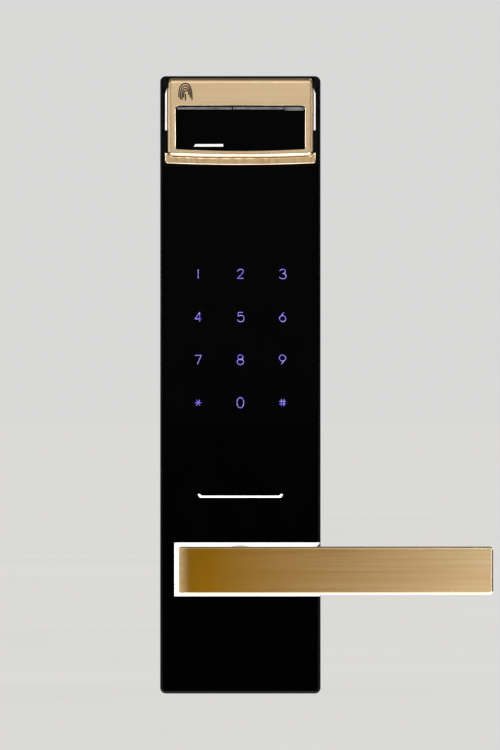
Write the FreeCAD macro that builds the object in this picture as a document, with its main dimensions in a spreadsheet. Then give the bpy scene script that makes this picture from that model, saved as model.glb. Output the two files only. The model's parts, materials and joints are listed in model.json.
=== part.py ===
"""Outdoor unit of a keypad and fingerprint door lock with a lever handle.

The frame is +X to the right and +Z up as the user faces the door, and +Y into the door. The origin is on
the spindle axis, in the plane of the door's outer face. "Depth" below means distance in front of that
face, so a depth d lies at y = -d. All lengths are in millimetres.
"""
import FreeCAD, Part
import math
import os

import Sketcher
from FreeCAD import Placement, Rotation, Vector

# The driving dimensions: alias, value and what it is. Everything else is worked out from these.
SIZES = [
    # the whole unit
    ("body_width", 80, "width of the housing"),
    ("body_height", 308, "height of the housing"),
    ("body_depth", 22, "door face to glass front"),
    ("corner_radius", 2.8, "housing corners seen from the front"),
    ("spindle_height", 62, "spindle axis above the housing's lower edge"),
    ("side_wall", 2.2, "housing side wall"),
    ("face_wall", 2, "housing front wall behind the glass"),
    ("rim", 1.4, "visible housing rim beside the glass"),
    ("top_rim", 0.8, "housing rim above the fingerprint cover"),
    ("rim_round", 1.1, "round on the housing's front edge"),
    ("recess_round", 1, "corners of the recess that holds the glass and the fingerprint bay"),
    ("housing_lift", 0.8, "housing's rear edge in front of the door"),
    ("fit", 0.3, "clearance between neighbouring pieces"),
    ("close_fit", 0.1, "clearance of pieces that seat in one another"),
    # front glass
    ("glass_thickness", 2.2, "touch glass"),
    ("glass_edge", 0.4, "bevel round the glass"),
    ("tape_thickness", 0.3, "bonding tape under the glass"),
    ("tape_width", 4, "bonding tape"),
    # keypad
    ("keypad_height", 115.2, "keypad centre above the spindle axis"),
    ("key_across", 21.05, "key pitch across"),
    ("key_down", 21.4, "key pitch down"),
    ("key_margin", 10, "light window beyond the outer keys' centres"),
    ("film_thickness", 0.4, "touch film"),
    ("guide_thickness", 3.2, "key light guide"),
    ("board_thickness", 1.6, "circuit boards"),
    ("led_size", 2, "key lamps"),
    ("led_height", 0.8, "key lamps"),
    # status bar
    ("bar_height", 36.2, "status bar above the spindle axis"),
    ("bar_half", 21.2, "half the status bar's length"),
    ("bar_line", 0.75, "status bar's thickness as seen"),
    ("bar_rise", 1.1, "how far its ends turn up"),
    # rear chassis
    ("gasket_thickness", 1.6, "door gasket"),
    ("gasket_width", 9, "door gasket's band"),
    ("chassis_thickness", 2.5, "chassis plate"),
    ("post_length", 14, "mounting post behind the door face"),
    ("post_diameter", 9, "mounting post"),
    ("post_bore", 4.2, "tapping bore for an M5 bolt"),
    ("upper_post", 188, "upper post above the spindle axis"),
    ("lower_post", 42, "lower post below the spindle axis"),
    ("boss_diameter", 6.5, "screw bosses in the housing"),
    ("cable_hole", 16, "cable hole in the chassis"),
    ("cable_height", 62, "cable hole above the spindle axis"),
    ("cable_side", 14, "cable hole to the right of the spindle axis"),
    # lever
    ("lever_length", 156.6, "whole lever bar"),
    ("lever_tail", 31.2, "bar beyond the spindle axis, away from the grip"),
    ("lever_height", 23.6, "bar's height"),
    ("lever_reach", 68, "bar's front in front of the door"),
    ("arm_thickness", 8.5, "bar's body"),
    ("face_thickness", 2, "bar's face plate"),
    ("roll_radius", 24, "front radius where the tail curls back"),
    ("roll_length", 13.8, "length of the curled tail"),
    ("lever_travel", 50, "degrees that the lever turns down"),
    ("neck_diameter", 19, "lever neck"),
    ("journal_diameter", 16, "lever journal in its bushing"),
    ("bushing_wall", 2, "nylon bushing"),
    ("spindle_side", 8, "square spindle"),
    ("spindle_length", 38, "spindle behind the door face"),
    ("plate_thickness", 3, "lever base plate"),
    ("plate_height", 26.8, "lever base plate"),
    ("plate_tail", 33, "base plate beyond the spindle axis"),
    ("plate_rise", 1.6, "height of the polished slope round the base plate"),
    ("plate_slope", 62, "degrees that the slope leans in"),
    # return spring cassette
    ("cassette_diameter", 44, "spring cassette"),
    ("cassette_depth", 9.7, "spring cassette with its lid"),
    ("cassette_wall", 2, "cassette wall"),
    ("return_wire", 1.2, "return spring wire"),
    # fingerprint cover and its bay
    ("cover_width", 72.4, "cover"),
    ("cover_height", 39.5, "cover"),
    ("cover_thickness", 5, "cover, and so the diameter of its hinge barrel"),
    ("cover_skin", 1.6, "cover's front wall"),
    ("cover_corner", 2.6, "cover's lower corners"),
    ("cover_bow", 0.8, "how far the lower edges bow down"),
    ("cover_travel", 105, "degrees that the cover opens"),
    ("window_width", 64.8, "window in the cover"),
    ("window_height", 21.8, "window in the cover, at its sides"),
    ("window_bow", 0.9, "how far the window's lower edge bows down"),
    ("window_corner", 2, "window's upper corners"),
    ("hollow_margin", 1.7, "cover's hollow beyond its window"),
    ("window_drop", 13.6, "window's top below the cover's top"),
    ("bay_floor", 11, "depth of the sensor bay's floor"),
    ("flange_thickness", 1, "bay flange"),
    ("lip_width", 75, "gold lip under the cover"),
    ("lip_height", 3.4, "gold lip under the cover"),
    ("hinge_pin", 2.2, "hinge bar"),
    ("sensor_width", 19.6, "fingerprint sensor"),
    ("sensor_height", 23.6, "fingerprint sensor"),
    # tamper switch
    ("tamper_travel", 2.2, "tamper plunger's travel"),
    ("tamper_diameter", 4, "tamper plunger"),
]


# ------------------------------------------------------------------------------------------ sizes


class Size:
    """A number together with the sheet expression that gives it, so that a feature can be bound to it."""

    def __init__(self, value, text):
        self.value = value
        self.text = text

    def __float__(self):
        return self.value

    def __add__(self, other):
        other = as_size(other)
        return Size(self.value + other.value, f"({self.text} + {other.text})")

    def __sub__(self, other):
        other = as_size(other)
        return Size(self.value - other.value, f"({self.text} - {other.text})")

    def __mul__(self, other):
        other = as_size(other)
        return Size(self.value * other.value, f"({self.text} * {other.text})")

    def __truediv__(self, other):
        other = as_size(other)
        return Size(self.value / other.value, f"({self.text} / {other.text})")

    def __radd__(self, other):
        return as_size(other) + self

    def __rsub__(self, other):
        return as_size(other) - self

    def __rmul__(self, other):
        return as_size(other) * self

    def __neg__(self):
        return as_size(0) - self


def as_size(value):
    """A plain number as a Size."""
    if isinstance(value, Size):
        return value
    return Size(float(value), f"({value:g})")


def bind(thing, property_name, size):
    """Sets a property from a size and ties it to the sheet."""
    thing.setExpression(property_name, as_size(size).text)


def write_sheet(doc):
    """The spreadsheet of driving dimensions, and each of them as a Size."""
    sheet = doc.addObject("Spreadsheet::Sheet", "Sizes")
    for row, (alias, value, note) in enumerate(SIZES, start=1):
        sheet.set(f"A{row}", alias)
        sheet.set(f"B{row}", str(value))
        sheet.setAlias(f"B{row}", alias)
        sheet.set(f"C{row}", note)
    doc.recompute()
    return {alias: Size(float(value), f"Sizes.{alias}") for alias, value, _ in SIZES}


# ------------------------------------------------------------------------------- sketched outlines


def fix_point(sketch, geometry, point, x, y):
    """Ties a point of the sketch to its two coordinates."""
    for kind, size in (("DistanceX", x), ("DistanceY", y)):
        size = as_size(size)
        index = sketch.addConstraint(Sketcher.Constraint(kind, -1, 1, geometry, point, float(size)))
        sketch.setExpression(f"Constraints[{index}]", size.text)


def fix_radius(sketch, geometry, radius):
    """Ties a circle's or an arc's radius to a size."""
    index = sketch.addConstraint(Sketcher.Constraint("Radius", geometry, float(radius)))
    sketch.setExpression(f"Constraints[{index}]", as_size(radius).text)


def rectangle(left, right, bottom, top, radius=None):
    """A drawing of a rectangle, with round corners if a radius is given."""
    left, right, bottom, top = (as_size(side) for side in (left, right, bottom, top))
    if radius is None:
        return polygon([(left, bottom), (right, bottom), (right, top), (left, top)])
    radius = as_size(radius)

    def draw(sketch):
        centres = [
            (right - radius, top - radius),
            (left + radius, top - radius),
            (left + radius, bottom + radius),
            (right - radius, bottom + radius),
        ]
        arcs = []
        for quarter, (x, y) in enumerate(centres):
            circle = Part.Circle(Vector(float(x), float(y), 0), Vector(0, 0, 1), float(radius))
            start = quarter * math.pi / 2
            arcs.append(sketch.addGeometry(Part.ArcOfCircle(circle, start, start + math.pi / 2)))
        for quarter, arc in enumerate(arcs):
            following = arcs[(quarter + 1) % 4]
            ends = Part.LineSegment(
                sketch.Geometry[arc].EndPoint, sketch.Geometry[following].StartPoint
            )
            line = sketch.addGeometry(ends)
            sketch.addConstraint(Sketcher.Constraint("Tangent", arc, 2, line, 1))
            sketch.addConstraint(Sketcher.Constraint("Tangent", line, 2, following, 1))
        for arc, (x, y) in zip(arcs, centres):
            fix_point(sketch, arc, 3, x, y)
            fix_radius(sketch, arc, radius)

    return draw


def polygon(points):
    """A drawing of a closed outline of straight sides."""

    def draw(sketch):
        corners = [Vector(float(x), float(y), 0) for x, y in points]
        lines = []
        for index, corner in enumerate(corners):
            side = Part.LineSegment(corner, corners[(index + 1) % len(corners)])
            lines.append(sketch.addGeometry(side))
        for index, line in enumerate(lines):
            following = lines[(index + 1) % len(lines)]
            sketch.addConstraint(Sketcher.Constraint("Coincident", line, 2, following, 1))
        for line, (x, y) in zip(lines, points):
            fix_point(sketch, line, 1, x, y)

    return draw


def bowed(left, right, bottom, top, bow, radius):
    """A drawing of a plate with straight sides, round lower corners and a lower edge that bows down."""
    left, right, bottom, top = (as_size(side) for side in (left, right, bottom, top))
    bow, radius = as_size(bow), as_size(radius)

    def draw(sketch):
        low = [(left, bottom + radius), (left + radius, bottom), (right - radius, bottom)]
        low.append((right, bottom + radius))
        corners = [Vector(float(x), float(y), 0) for x, y in [*low, (right, top), (left, top)]]
        middle = Vector(float(left + right) / 2, float(bottom - bow), 0)
        slope = 1 - math.sqrt(0.5)
        inset = Vector(float(radius) * slope, float(radius) * slope, 0)
        left_mid = Vector(float(left), float(bottom), 0) + inset
        right_mid = Vector(float(right) - inset.x, float(bottom) + inset.y, 0)
        shapes = [
            Part.Arc(corners[0], left_mid, corners[1]),
            Part.Arc(corners[1], middle, corners[2]),
            Part.Arc(corners[2], right_mid, corners[3]),
            Part.LineSegment(corners[3], corners[4]),
            Part.LineSegment(corners[4], corners[5]),
            Part.LineSegment(corners[5], corners[0]),
        ]
        edges = [sketch.addGeometry(shape) for shape in shapes]
        for edge, following in zip(edges, edges[1:] + edges[:1]):
            sketch.addConstraint(Sketcher.Constraint("Coincident", edge, 2, following, 1))
        for edge, (x, y) in zip(edges, [*low, (right, top), (left, top)]):
            fix_point(sketch, edge, 1, x, y)
        fix_radius(sketch, edges[0], radius)
        fix_radius(sketch, edges[2], radius)
        half = (right - left) / 2 - radius
        fix_radius(sketch, edges[1], (half * half + bow * bow) / (2 * bow))

    return draw


def circles(places, diameter):
    """A drawing of one circle at each place."""

    def draw(sketch):
        for x, y in places:
            centre = Vector(float(x), float(y), 0)
            circle = Part.Circle(centre, Vector(0, 0, 1), float(diameter) / 2)
            geometry = sketch.addGeometry(circle)
            fix_point(sketch, geometry, 3, x, y)
            fix_radius(sketch, geometry, as_size(diameter) / 2)

    return draw


def together(*drawings):
    """Several separate outlines in one sketch."""

    def draw(sketch):
        for drawing in drawings:
            drawing(sketch)

    return draw


# ----------------------------------------------------------------------------------- part bodies

PLANES = {"front": "XZ_Plane", "top": "XY_Plane", "side": "YZ_Plane"}
PARTS = []


class Piece:
    """A PartDesign body, built up feature by feature.

    Sketches lie on one of the body's own planes: "front" has X and Z, and its level is a depth in front of
    the door; "top" has X and Y, at a height; "side" has Y and Z, at a distance to the right.
    """

    def __init__(self, doc, label):
        self.doc = doc
        self.body = doc.addObject("PartDesign::Body", label)
        self.body.Label = label
        PARTS.append(self.body)

    def sketch(self, plane, level, drawing):
        sketch = self.body.newObject("Sketcher::SketchObject", f"{self.body.Label}_outline")
        origin = [f for f in self.body.Origin.OriginFeatures if f.Role == PLANES[plane]][0]
        sketch.AttachmentSupport = (origin, [""])
        sketch.MapMode = "FlatFace"
        bind(sketch, "AttachmentOffset.Base.z", level)
        drawing(sketch)
        return sketch

    def feature(self, kind, profile, length, backwards):
        before = self.body.Shape.Volume if self.body.Tip else 0.0
        feature = self.body.newObject(f"PartDesign::{kind}", f"{self.body.Label}_{kind.lower()}")
        feature.Profile = profile
        feature.Reversed = backwards
        bind(feature, "Length", length)
        profile.Visibility = False
        self.doc.recompute()
        change = self.body.Shape.Volume - before
        if (change <= 0) if kind == "Pad" else (change >= 0):
            raise RuntimeError(f"{feature.Label} changed nothing")
        return feature

    def pad(self, plane, level, drawing, length):
        """Adds material from the sketch along its plane's normal: forwards, up or to the right."""
        return self.feature("Pad", self.sketch(plane, level, drawing), length, False)

    def pocket(self, plane, level, drawing, length):
        """Removes material from the sketch along its plane's normal: forwards, up or to the right."""
        return self.feature("Pocket", self.sketch(plane, level, drawing), length, True)

    def dress(self, kind, property_name, size, test):
        """Adds a fillet or a chamfer on the edges that pass the test."""
        base = self.body.Tip
        edges = [f"Edge{n}" for n, edge in enumerate(base.Shape.Edges, start=1) if test(edge)]
        if not edges:
            raise RuntimeError(f"{self.body.Label} has no such edge")
        feature = self.body.newObject(f"PartDesign::{kind}", f"{self.body.Label}_{kind.lower()}")
        feature.Base = (base, edges)
        bind(feature, property_name, size)
        self.doc.recompute()

    def round(self, radius, test):
        """Rounds the edges that pass the test."""
        self.dress("Fillet", "Radius", radius, test)

    def bevel(self, size, test):
        """Bevels the edges that pass the test."""
        self.dress("Chamfer", "Size", size, test)


def at_depth(depth, inside=None):
    """A test for edges that lie wholly at one depth and, if inside is given, outside that half width."""

    def test(edge):
        box = edge.BoundBox
        flat = abs(box.YMin + float(depth)) < 1e-4 and abs(box.YMax + float(depth)) < 1e-4
        if inside is None:
            return flat
        left, right, bottom, top = (float(side) for side in inside)
        beyond = box.XMin < left or box.XMax > right or box.ZMin < bottom or box.ZMax > top
        return flat and beyond

    return test


def along_depth(x_from, x_to):
    """A test for straight edges that run front to back, between two distances to the right."""

    def test(edge):
        box = edge.BoundBox
        between = float(x_from) <= box.XMin and box.XMax <= float(x_to)
        return between and box.YLength > 1e-3 and box.XLength < 1e-4 and box.ZLength < 1e-4

    return test


# --------------------------------------------------------------------------------- plain solids

# A cylinder's own axis is +Z. These turn it forwards (out of the door), up, and to the right.
TURNS = {
    "forwards": Rotation(Vector(1, 0, 0), 90),
    "up": Rotation(),
    "right": Rotation(Vector(0, 1, 0), 90),
}


def place(thing, x, depth, z, turn="up"):
    """Puts a solid's own origin at a point given by its depth, and ties it there."""
    thing.Placement = Placement(Vector(float(x), -float(depth), float(z)), TURNS[turn])
    bind(thing, "Placement.Base.x", x)
    bind(thing, "Placement.Base.y", -as_size(depth))
    bind(thing, "Placement.Base.z", z)
    return thing


def block(doc, left, right, back, front, bottom, top):
    """A box between two distances to the right, two depths and two heights."""
    left, right, back, front, bottom, top = map(as_size, (left, right, back, front, bottom, top))
    solid = doc.addObject("Part::Box", "block")
    bind(solid, "Length", right - left)
    bind(solid, "Width", front - back)
    bind(solid, "Height", top - bottom)
    return place(solid, left, front, bottom)


def rod(doc, turn, x, depth, z, length, diameter):
    """A cylinder that starts at a point and runs forwards, up or to the right."""
    solid = doc.addObject("Part::Cylinder", "rod")
    bind(solid, "Radius", as_size(diameter) / 2)
    bind(solid, "Height", length)
    return place(solid, x, depth, z, turn)


def disc(doc, x, z, back, front, diameter):
    """A cylinder facing forwards between two depths."""
    return rod(doc, "forwards", x, back, z, as_size(front) - as_size(back), diameter)


def cut(doc, base, *tools):
    tool = tools[0] if len(tools) == 1 else join(doc, *tools)
    solid = doc.addObject("Part::Cut", "cut")
    solid.Base = base
    solid.Tool = tool
    return solid


def join(doc, *solids):
    solid = doc.addObject("Part::MultiFuse", "joined")
    solid.Shapes = list(solids)
    return solid


def group(doc, label, solids):
    """Separate solids kept in one node, such as a set of screws."""
    compound = doc.addObject("Part::Compound", label)
    compound.Links = list(solids)
    return keep(compound, label)


def keep(solid, label):
    """Marks a solid as a sub-part of the lock."""
    solid.Label = label
    PARTS.append(solid)
    return solid


def shaped(doc, label, shape):
    """A sub-part whose shape comes straight from Part's own functions."""
    feature = doc.addObject("Part::Feature", label)
    feature.Shape = shape
    return keep(feature, label)


def screw(doc, x, z, seat, length, diameter, forwards=True, head_share=0.6):
    """A pan-head screw with a cross recess. Its head bears at the seat's depth, and its shank points
    forwards, or backwards if forwards is False. The head's height is a share of the diameter."""
    diameter, seat = as_size(diameter), as_size(seat)
    head_height = diameter * head_share
    slot_width = diameter * 0.22
    slot_reach = diameter * 0.55
    slot_depth = head_height * 0.6
    if forwards:
        head = disc(doc, x, z, seat - head_height, seat, diameter * 1.9)
        shank = disc(doc, x, z, seat, seat + length, diameter)
        back, front = seat - head_height, seat - head_height + slot_depth
    else:
        head = disc(doc, x, z, seat, seat + head_height, diameter * 1.9)
        shank = disc(doc, x, z, seat - length, seat, diameter)
        back, front = seat + head_height - slot_depth, seat + head_height
    x, z = as_size(x), as_size(z)
    across = block(doc, x - slot_reach, x + slot_reach, back, front, z - slot_width / 2, z + slot_width / 2)
    down = block(doc, x - slot_width / 2, x + slot_width / 2, back, front, z - slot_reach, z + slot_reach)
    return cut(doc, join(doc, head, shank), across, down)


def coil(wire, radius, turns, pitch):
    """A helical spring's solid about +Z, with its wire's centre starting at height 0."""
    helix = Part.makeHelix(pitch, pitch * turns, radius)
    start = Vector(radius, 0, 0)
    profile = Part.Wire(Part.makeCircle(wire / 2, start, Vector(0, 1, pitch / (2 * math.pi * radius))))
    return Part.Wire(helix).makePipeShell([profile], True, True)


# ------------------------------------------------------------------------------- derived layout


class Layout:
    """Levels and limits that several pieces share, all worked out from the driving dimensions."""

    def __init__(self, sizes):
        self.__dict__.update(sizes)
        # housing
        self.half_width = self.body_width / 2
        self.bottom = -self.spindle_height
        self.top = self.body_height - self.spindle_height
        self.inner_half = self.half_width - self.side_wall
        self.inner_bottom = self.bottom + self.side_wall
        self.inner_top = self.top - self.side_wall
        self.glass_seat = self.body_depth - self.glass_thickness - self.tape_thickness
        self.glass_back = self.body_depth - self.glass_thickness
        self.wall_back = self.glass_seat - self.face_wall
        # rear chassis
        self.chassis_back = self.gasket_thickness
        self.chassis_front = self.chassis_back + self.chassis_thickness
        # recess in the housing's front
        self.recess_half = self.half_width - self.rim
        self.recess_bottom = self.bottom + self.rim
        self.recess_top = self.top - self.top_rim
        # fingerprint cover
        self.cover_half = self.cover_width / 2
        self.cover_top = self.recess_top - self.fit
        self.cover_bottom = self.cover_top - self.cover_height
        self.flange_front = self.glass_seat + self.flange_thickness
        self.cover_back = self.flange_front + self.fit
        self.cover_front = self.cover_back + self.cover_thickness
        self.barrel = self.cover_thickness / 2
        self.hinge_z = self.cover_top - self.barrel
        self.hinge_depth = self.cover_back + self.barrel
        self.window_top = self.cover_top - self.window_drop
        self.window_bottom = self.window_top - self.window_height
        self.lip_bottom = self.cover_bottom - self.fit - self.lip_height
        self.bay_half = self.recess_half - self.close_fit
        self.bay_bottom = self.lip_bottom - self.close_fit
        self.bay_top = self.recess_top - self.close_fit
        self.well_half = self.window_width / 2 - 1
        self.well_bottom = self.cover_bottom + 5
        self.well_top = self.hinge_z - self.barrel - 3
        # glass
        self.glass_half = self.recess_half - self.close_fit
        self.glass_bottom = self.recess_bottom + self.close_fit
        self.glass_top = self.bay_bottom - self.close_fit
        # keypad
        self.window_half_x = self.key_across + self.key_margin
        self.window_half_z = self.key_down * 1.5 + self.key_margin + 4
        self.film_front = self.glass_back - 0.05
        self.film_back = self.film_front - self.film_thickness
        self.guide_front = self.film_back - 0.05
        self.guide_back = self.guide_front - self.guide_thickness
        self.board_front = self.guide_back - 0.1
        self.board_back = self.board_front - self.board_thickness
        self.board_half = self.inner_half - 1
        self.board_bottom = self.cassette_diameter / 2 + 4
        self.board_top = self.keypad_height + self.window_half_z + 7.7
        # lever
        self.plate_front = self.body_depth + self.plate_thickness
        self.face_back = self.lever_reach - self.face_thickness
        self.arm_back = self.face_back - self.arm_thickness
        self.neck_back = self.plate_front + self.fit
        self.tip = self.lever_length - self.lever_tail
        self.bushing_diameter = self.journal_diameter + 2 * self.bushing_wall + 0.05
        self.washer_back = self.wall_back - 0.9
        self.ring_back = self.washer_back - self.fit - 1
        self.journal_back = self.ring_back - 0.9
        self.cassette_front = self.chassis_front + self.cassette_depth
        self.stop_radius = self.journal_diameter / 2 + 6.8
        self.lid_back = self.cassette_front - 1.2
        self.square_hole = self.spindle_side + self.close_fit

    def key_places(self):
        """The twelve key centres, row by row from the top."""
        return [
            (self.key_across * column, self.keypad_height + self.key_down * (1.5 - row))
            for row in range(4)
            for column in (-1, 0, 1)
        ]

    def boss_places(self):
        """Where the housing's bosses take the chassis screws."""
        side = self.inner_half - self.boss_diameter / 2 - 0.8
        low = self.inner_bottom + self.boss_diameter / 2 + 2.6
        middle = self.cassette_diameter / 2 - 4
        high = self.board_top + self.boss_diameter / 2 + 6.5
        return [(way * side, height) for height in (low, middle, high) for way in (-1, 1)]

    def board_screw_places(self):
        """Where the main board is screwed to the housing."""
        side = (self.window_half_x + self.inner_half) / 2
        heights = (self.board_bottom + 3.5, self.keypad_height, self.board_top - 3.5)
        return [(way * side, height) for height in heights for way in (-1, 1)]

    def base_screw_places(self):
        """Where the base plate is screwed to the housing from inside."""
        return [(6 - self.plate_tail, as_size(0)), (self.half_width - 8, as_size(0))]

    def bay_screw_places(self):
        """Where the bay's flange is screwed down, under the cover."""
        side = self.well_half + 3.4
        return [(way * side, height) for height in (self.well_bottom + 3, self.well_top - 5) for way in (-1, 1)]

    def sensor_centre(self):
        return (self.well_top + self.well_bottom) / 2

    def contact_places(self):
        """The two emergency battery contacts, at the spacing of a 9 V battery's terminals."""
        return [-6.35, 6.35]


# ------------------------------------------------------------------------------------- housing


def outer_housing(doc, s):
    piece = Piece(doc, "outer_housing")
    outline = rectangle(-s.half_width, s.half_width, s.bottom, s.top, s.corner_radius)
    piece.pad("front", s.housing_lift, outline, s.body_depth - s.housing_lift)
    piece.round(s.rim_round, at_depth(s.body_depth))
    cavity = rectangle(-s.inner_half, s.inner_half, s.inner_bottom, s.inner_top, 1)
    piece.pocket("front", s.housing_lift, cavity, s.wall_back - s.housing_lift)
    recess = rectangle(-s.recess_half, s.recess_half, s.recess_bottom, s.recess_top, s.recess_round)
    piece.pocket("front", s.glass_seat, recess, s.body_depth - s.glass_seat)
    window_half_z = s.window_half_z
    openings = together(
        rectangle(
            -s.window_half_x, s.window_half_x,
            s.keypad_height - window_half_z, s.keypad_height + window_half_z, 2,
        ),
        rectangle(-s.bar_half - 1, s.bar_half + 1, s.bar_height - 2, s.bar_height + 3),
        circles([(0, 0)], s.bushing_diameter + 2 * s.close_fit),
        circles(s.base_screw_places(), 3.4),
        rectangle(-s.well_half - 1.5, s.well_half + 1.5, s.well_bottom - 1.5, s.well_top + 1.5, 2),
        circles(s.bay_screw_places(), 1.6),
    )
    piece.pocket("front", s.wall_back, openings, s.face_wall)
    overlap = s.face_wall / 2
    bosses = circles(s.boss_places(), s.boss_diameter)
    piece.pad("front", s.chassis_front, bosses, s.wall_back - s.chassis_front + overlap)
    board_bosses = circles(s.board_screw_places(), 5)
    piece.pad("front", s.board_front, board_bosses, s.wall_back - s.board_front + overlap)
    piece.pocket("front", s.chassis_front, circles(s.boss_places(), 2.5), 9)
    piece.pocket("front", s.board_front, circles(s.board_screw_places(), 2.1), 3)
    contacts = circles([(x, -s.body_depth / 2) for x in s.contact_places()], 3.2)
    piece.pocket("top", s.bottom, contacts, s.side_wall)
    seats = circles([(x, -s.body_depth / 2) for x in s.contact_places()], 7)
    piece.pocket("top", s.bottom, seats, 0.8)


def glass_tape(doc, s):
    """Bonding tape: a band under the glass's edge."""
    piece = Piece(doc, "glass_tape")
    left, low, high = -s.glass_half + 0.5, s.glass_bottom + 0.5, s.glass_top - 0.5
    outline = rectangle(left, -left, low, high, 1)
    piece.pad("front", s.glass_seat, outline, s.tape_thickness)
    inner = left + s.tape_width
    opening = rectangle(inner, -inner, low + s.tape_width, high - s.tape_width, 1)
    piece.pocket("front", s.glass_seat, opening, s.tape_thickness)


def bar_outline(s, extra):
    """The status bar seen from the front: a thin line whose ends turn up. Extra grows it all round."""
    half, line = s.bar_half + extra, s.bar_line / 2 + extra
    rise = s.bar_rise + extra
    inner = half - 2 * as_size(extra)
    right = [(half - 1, -line), (half, rise), (inner - 0.8, rise + 0.2), (inner - 1.7, line)]
    left = [(-x, z) for x, z in reversed(right)]
    return polygon([(x, s.bar_height + z) for x, z in right + left])


def front_glass(doc, s):
    piece = Piece(doc, "front_glass")
    outline = rectangle(-s.glass_half, s.glass_half, s.glass_bottom, s.glass_top, s.recess_round)
    piece.pad("front", s.glass_back, outline, s.glass_thickness)
    piece.bevel(s.glass_edge, at_depth(s.body_depth))
    holes = together(
        circles([(0, 0)], s.bushing_diameter + 4 * s.close_fit),
        circles(s.base_screw_places(), 4),
        bar_outline(s, s.close_fit),
    )
    piece.pocket("front", s.glass_back, holes, s.glass_thickness)


def status_light_bar(doc, s):
    piece = Piece(doc, "status_light_bar")
    foot = rectangle(-s.bar_half - 2, s.bar_half + 2, s.bar_height - 3.4, s.bar_height + 3.8, 1)
    piece.pad("front", s.wall_back - 1.2, foot, 1.1)
    piece.pad("front", s.wall_back - 0.6, bar_outline(s, 0), s.body_depth + 0.05 - s.wall_back + 0.6)


# -------------------------------------------------------------------------------------- keypad


def touch_film(doc, s):
    piece = Piece(doc, "touch_film")
    half_x, half_z = s.window_half_x - s.fit, s.window_half_z - s.fit
    outline = rectangle(-half_x, half_x, s.keypad_height - half_z, s.keypad_height + half_z, 1.7)
    piece.pad("front", s.film_back, outline, s.film_thickness)


def key_light_guide(doc, s):
    """A clear plate in the housing's window, with a well over each lamp."""
    piece = Piece(doc, "key_light_guide")
    half_x, half_z = s.window_half_x - s.fit, s.window_half_z - s.fit
    outline = rectangle(-half_x, half_x, s.keypad_height - half_z, s.keypad_height + half_z, 1.7)
    piece.pad("front", s.guide_back, outline, s.guide_thickness)
    piece.pocket("front", s.guide_back, circles(s.key_places(), 6), s.guide_thickness * 0.6)


def main_board(doc, s):
    piece = Piece(doc, "main_board")
    outline = rectangle(-s.board_half, s.board_half, s.board_bottom, s.board_top, 2)
    piece.pad("front", s.board_back, outline, s.board_thickness)
    piece.pocket("front", s.board_back, circles(s.board_screw_places(), 2.4), s.board_thickness)


def key_leds(doc, s):
    half = s.led_size / 2
    lamps = [
        block(doc, x - half, x + half, s.board_front + 0.02, s.board_front + s.led_height, z - half, z + half)
        for x, z in s.key_places()
    ]
    group(doc, "key_leds", lamps)


def board_chips(doc, s):
    """The controller, its memory and a regulator on the board's rear face."""
    back = s.board_back - 0.02
    low = s.board_bottom
    chips = [
        block(doc, -6, 6, back - 1.3, back, low + 60, low + 72),
        block(doc, 12, 18, back - 1.1, back, low + 62, low + 70),
        block(doc, -22, -14, back - 1.5, back, low + 90, low + 95),
        block(doc, -20, -15, back - 2.2, back, low + 14, low + 19),
    ]
    group(doc, "board_chips", chips)


def cable_sockets(doc, s):
    """The door cable's socket, and the fingerprint ribbon's socket above it, on the board's rear face."""
    back = s.board_back - 0.02
    door_z = s.cable_height
    wide = cut(
        doc,
        block(doc, 10, 28, back - 5, back, door_z - 3.5, door_z + 3.5),
        block(doc, 11, 27, back - 6, back - 1.2, door_z - 2.5, door_z + 2.5),
    )
    ribbon_z = s.board_top - 12
    flat = block(doc, -7, 7, back - 2, back, ribbon_z - 4, ribbon_z)
    group(doc, "cable_sockets", [wide, flat])


def speaker(doc, s):
    """A round sounder on the front wall's rear face, between the board and the fingerprint bay."""
    z = (s.board_top + s.well_bottom - 1.5) / 2
    front = s.wall_back - 0.02
    drum = disc(doc, 0, z, front - 3.6, front, 18)
    rim = disc(doc, 0, z, front - 1.2, front, 21)
    hollow = disc(doc, 0, z, front - 3.6, front - 2.6, 14)
    keep(cut(doc, join(doc, drum, rim), hollow), "speaker")


def board_screws(doc, s):
    group(doc, "board_screws", [screw(doc, x, z, s.board_back - 0.01, 4.2, 2) for x, z in s.board_screw_places()])


# ---------------------------------------------------------------------------- fingerprint bay


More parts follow.
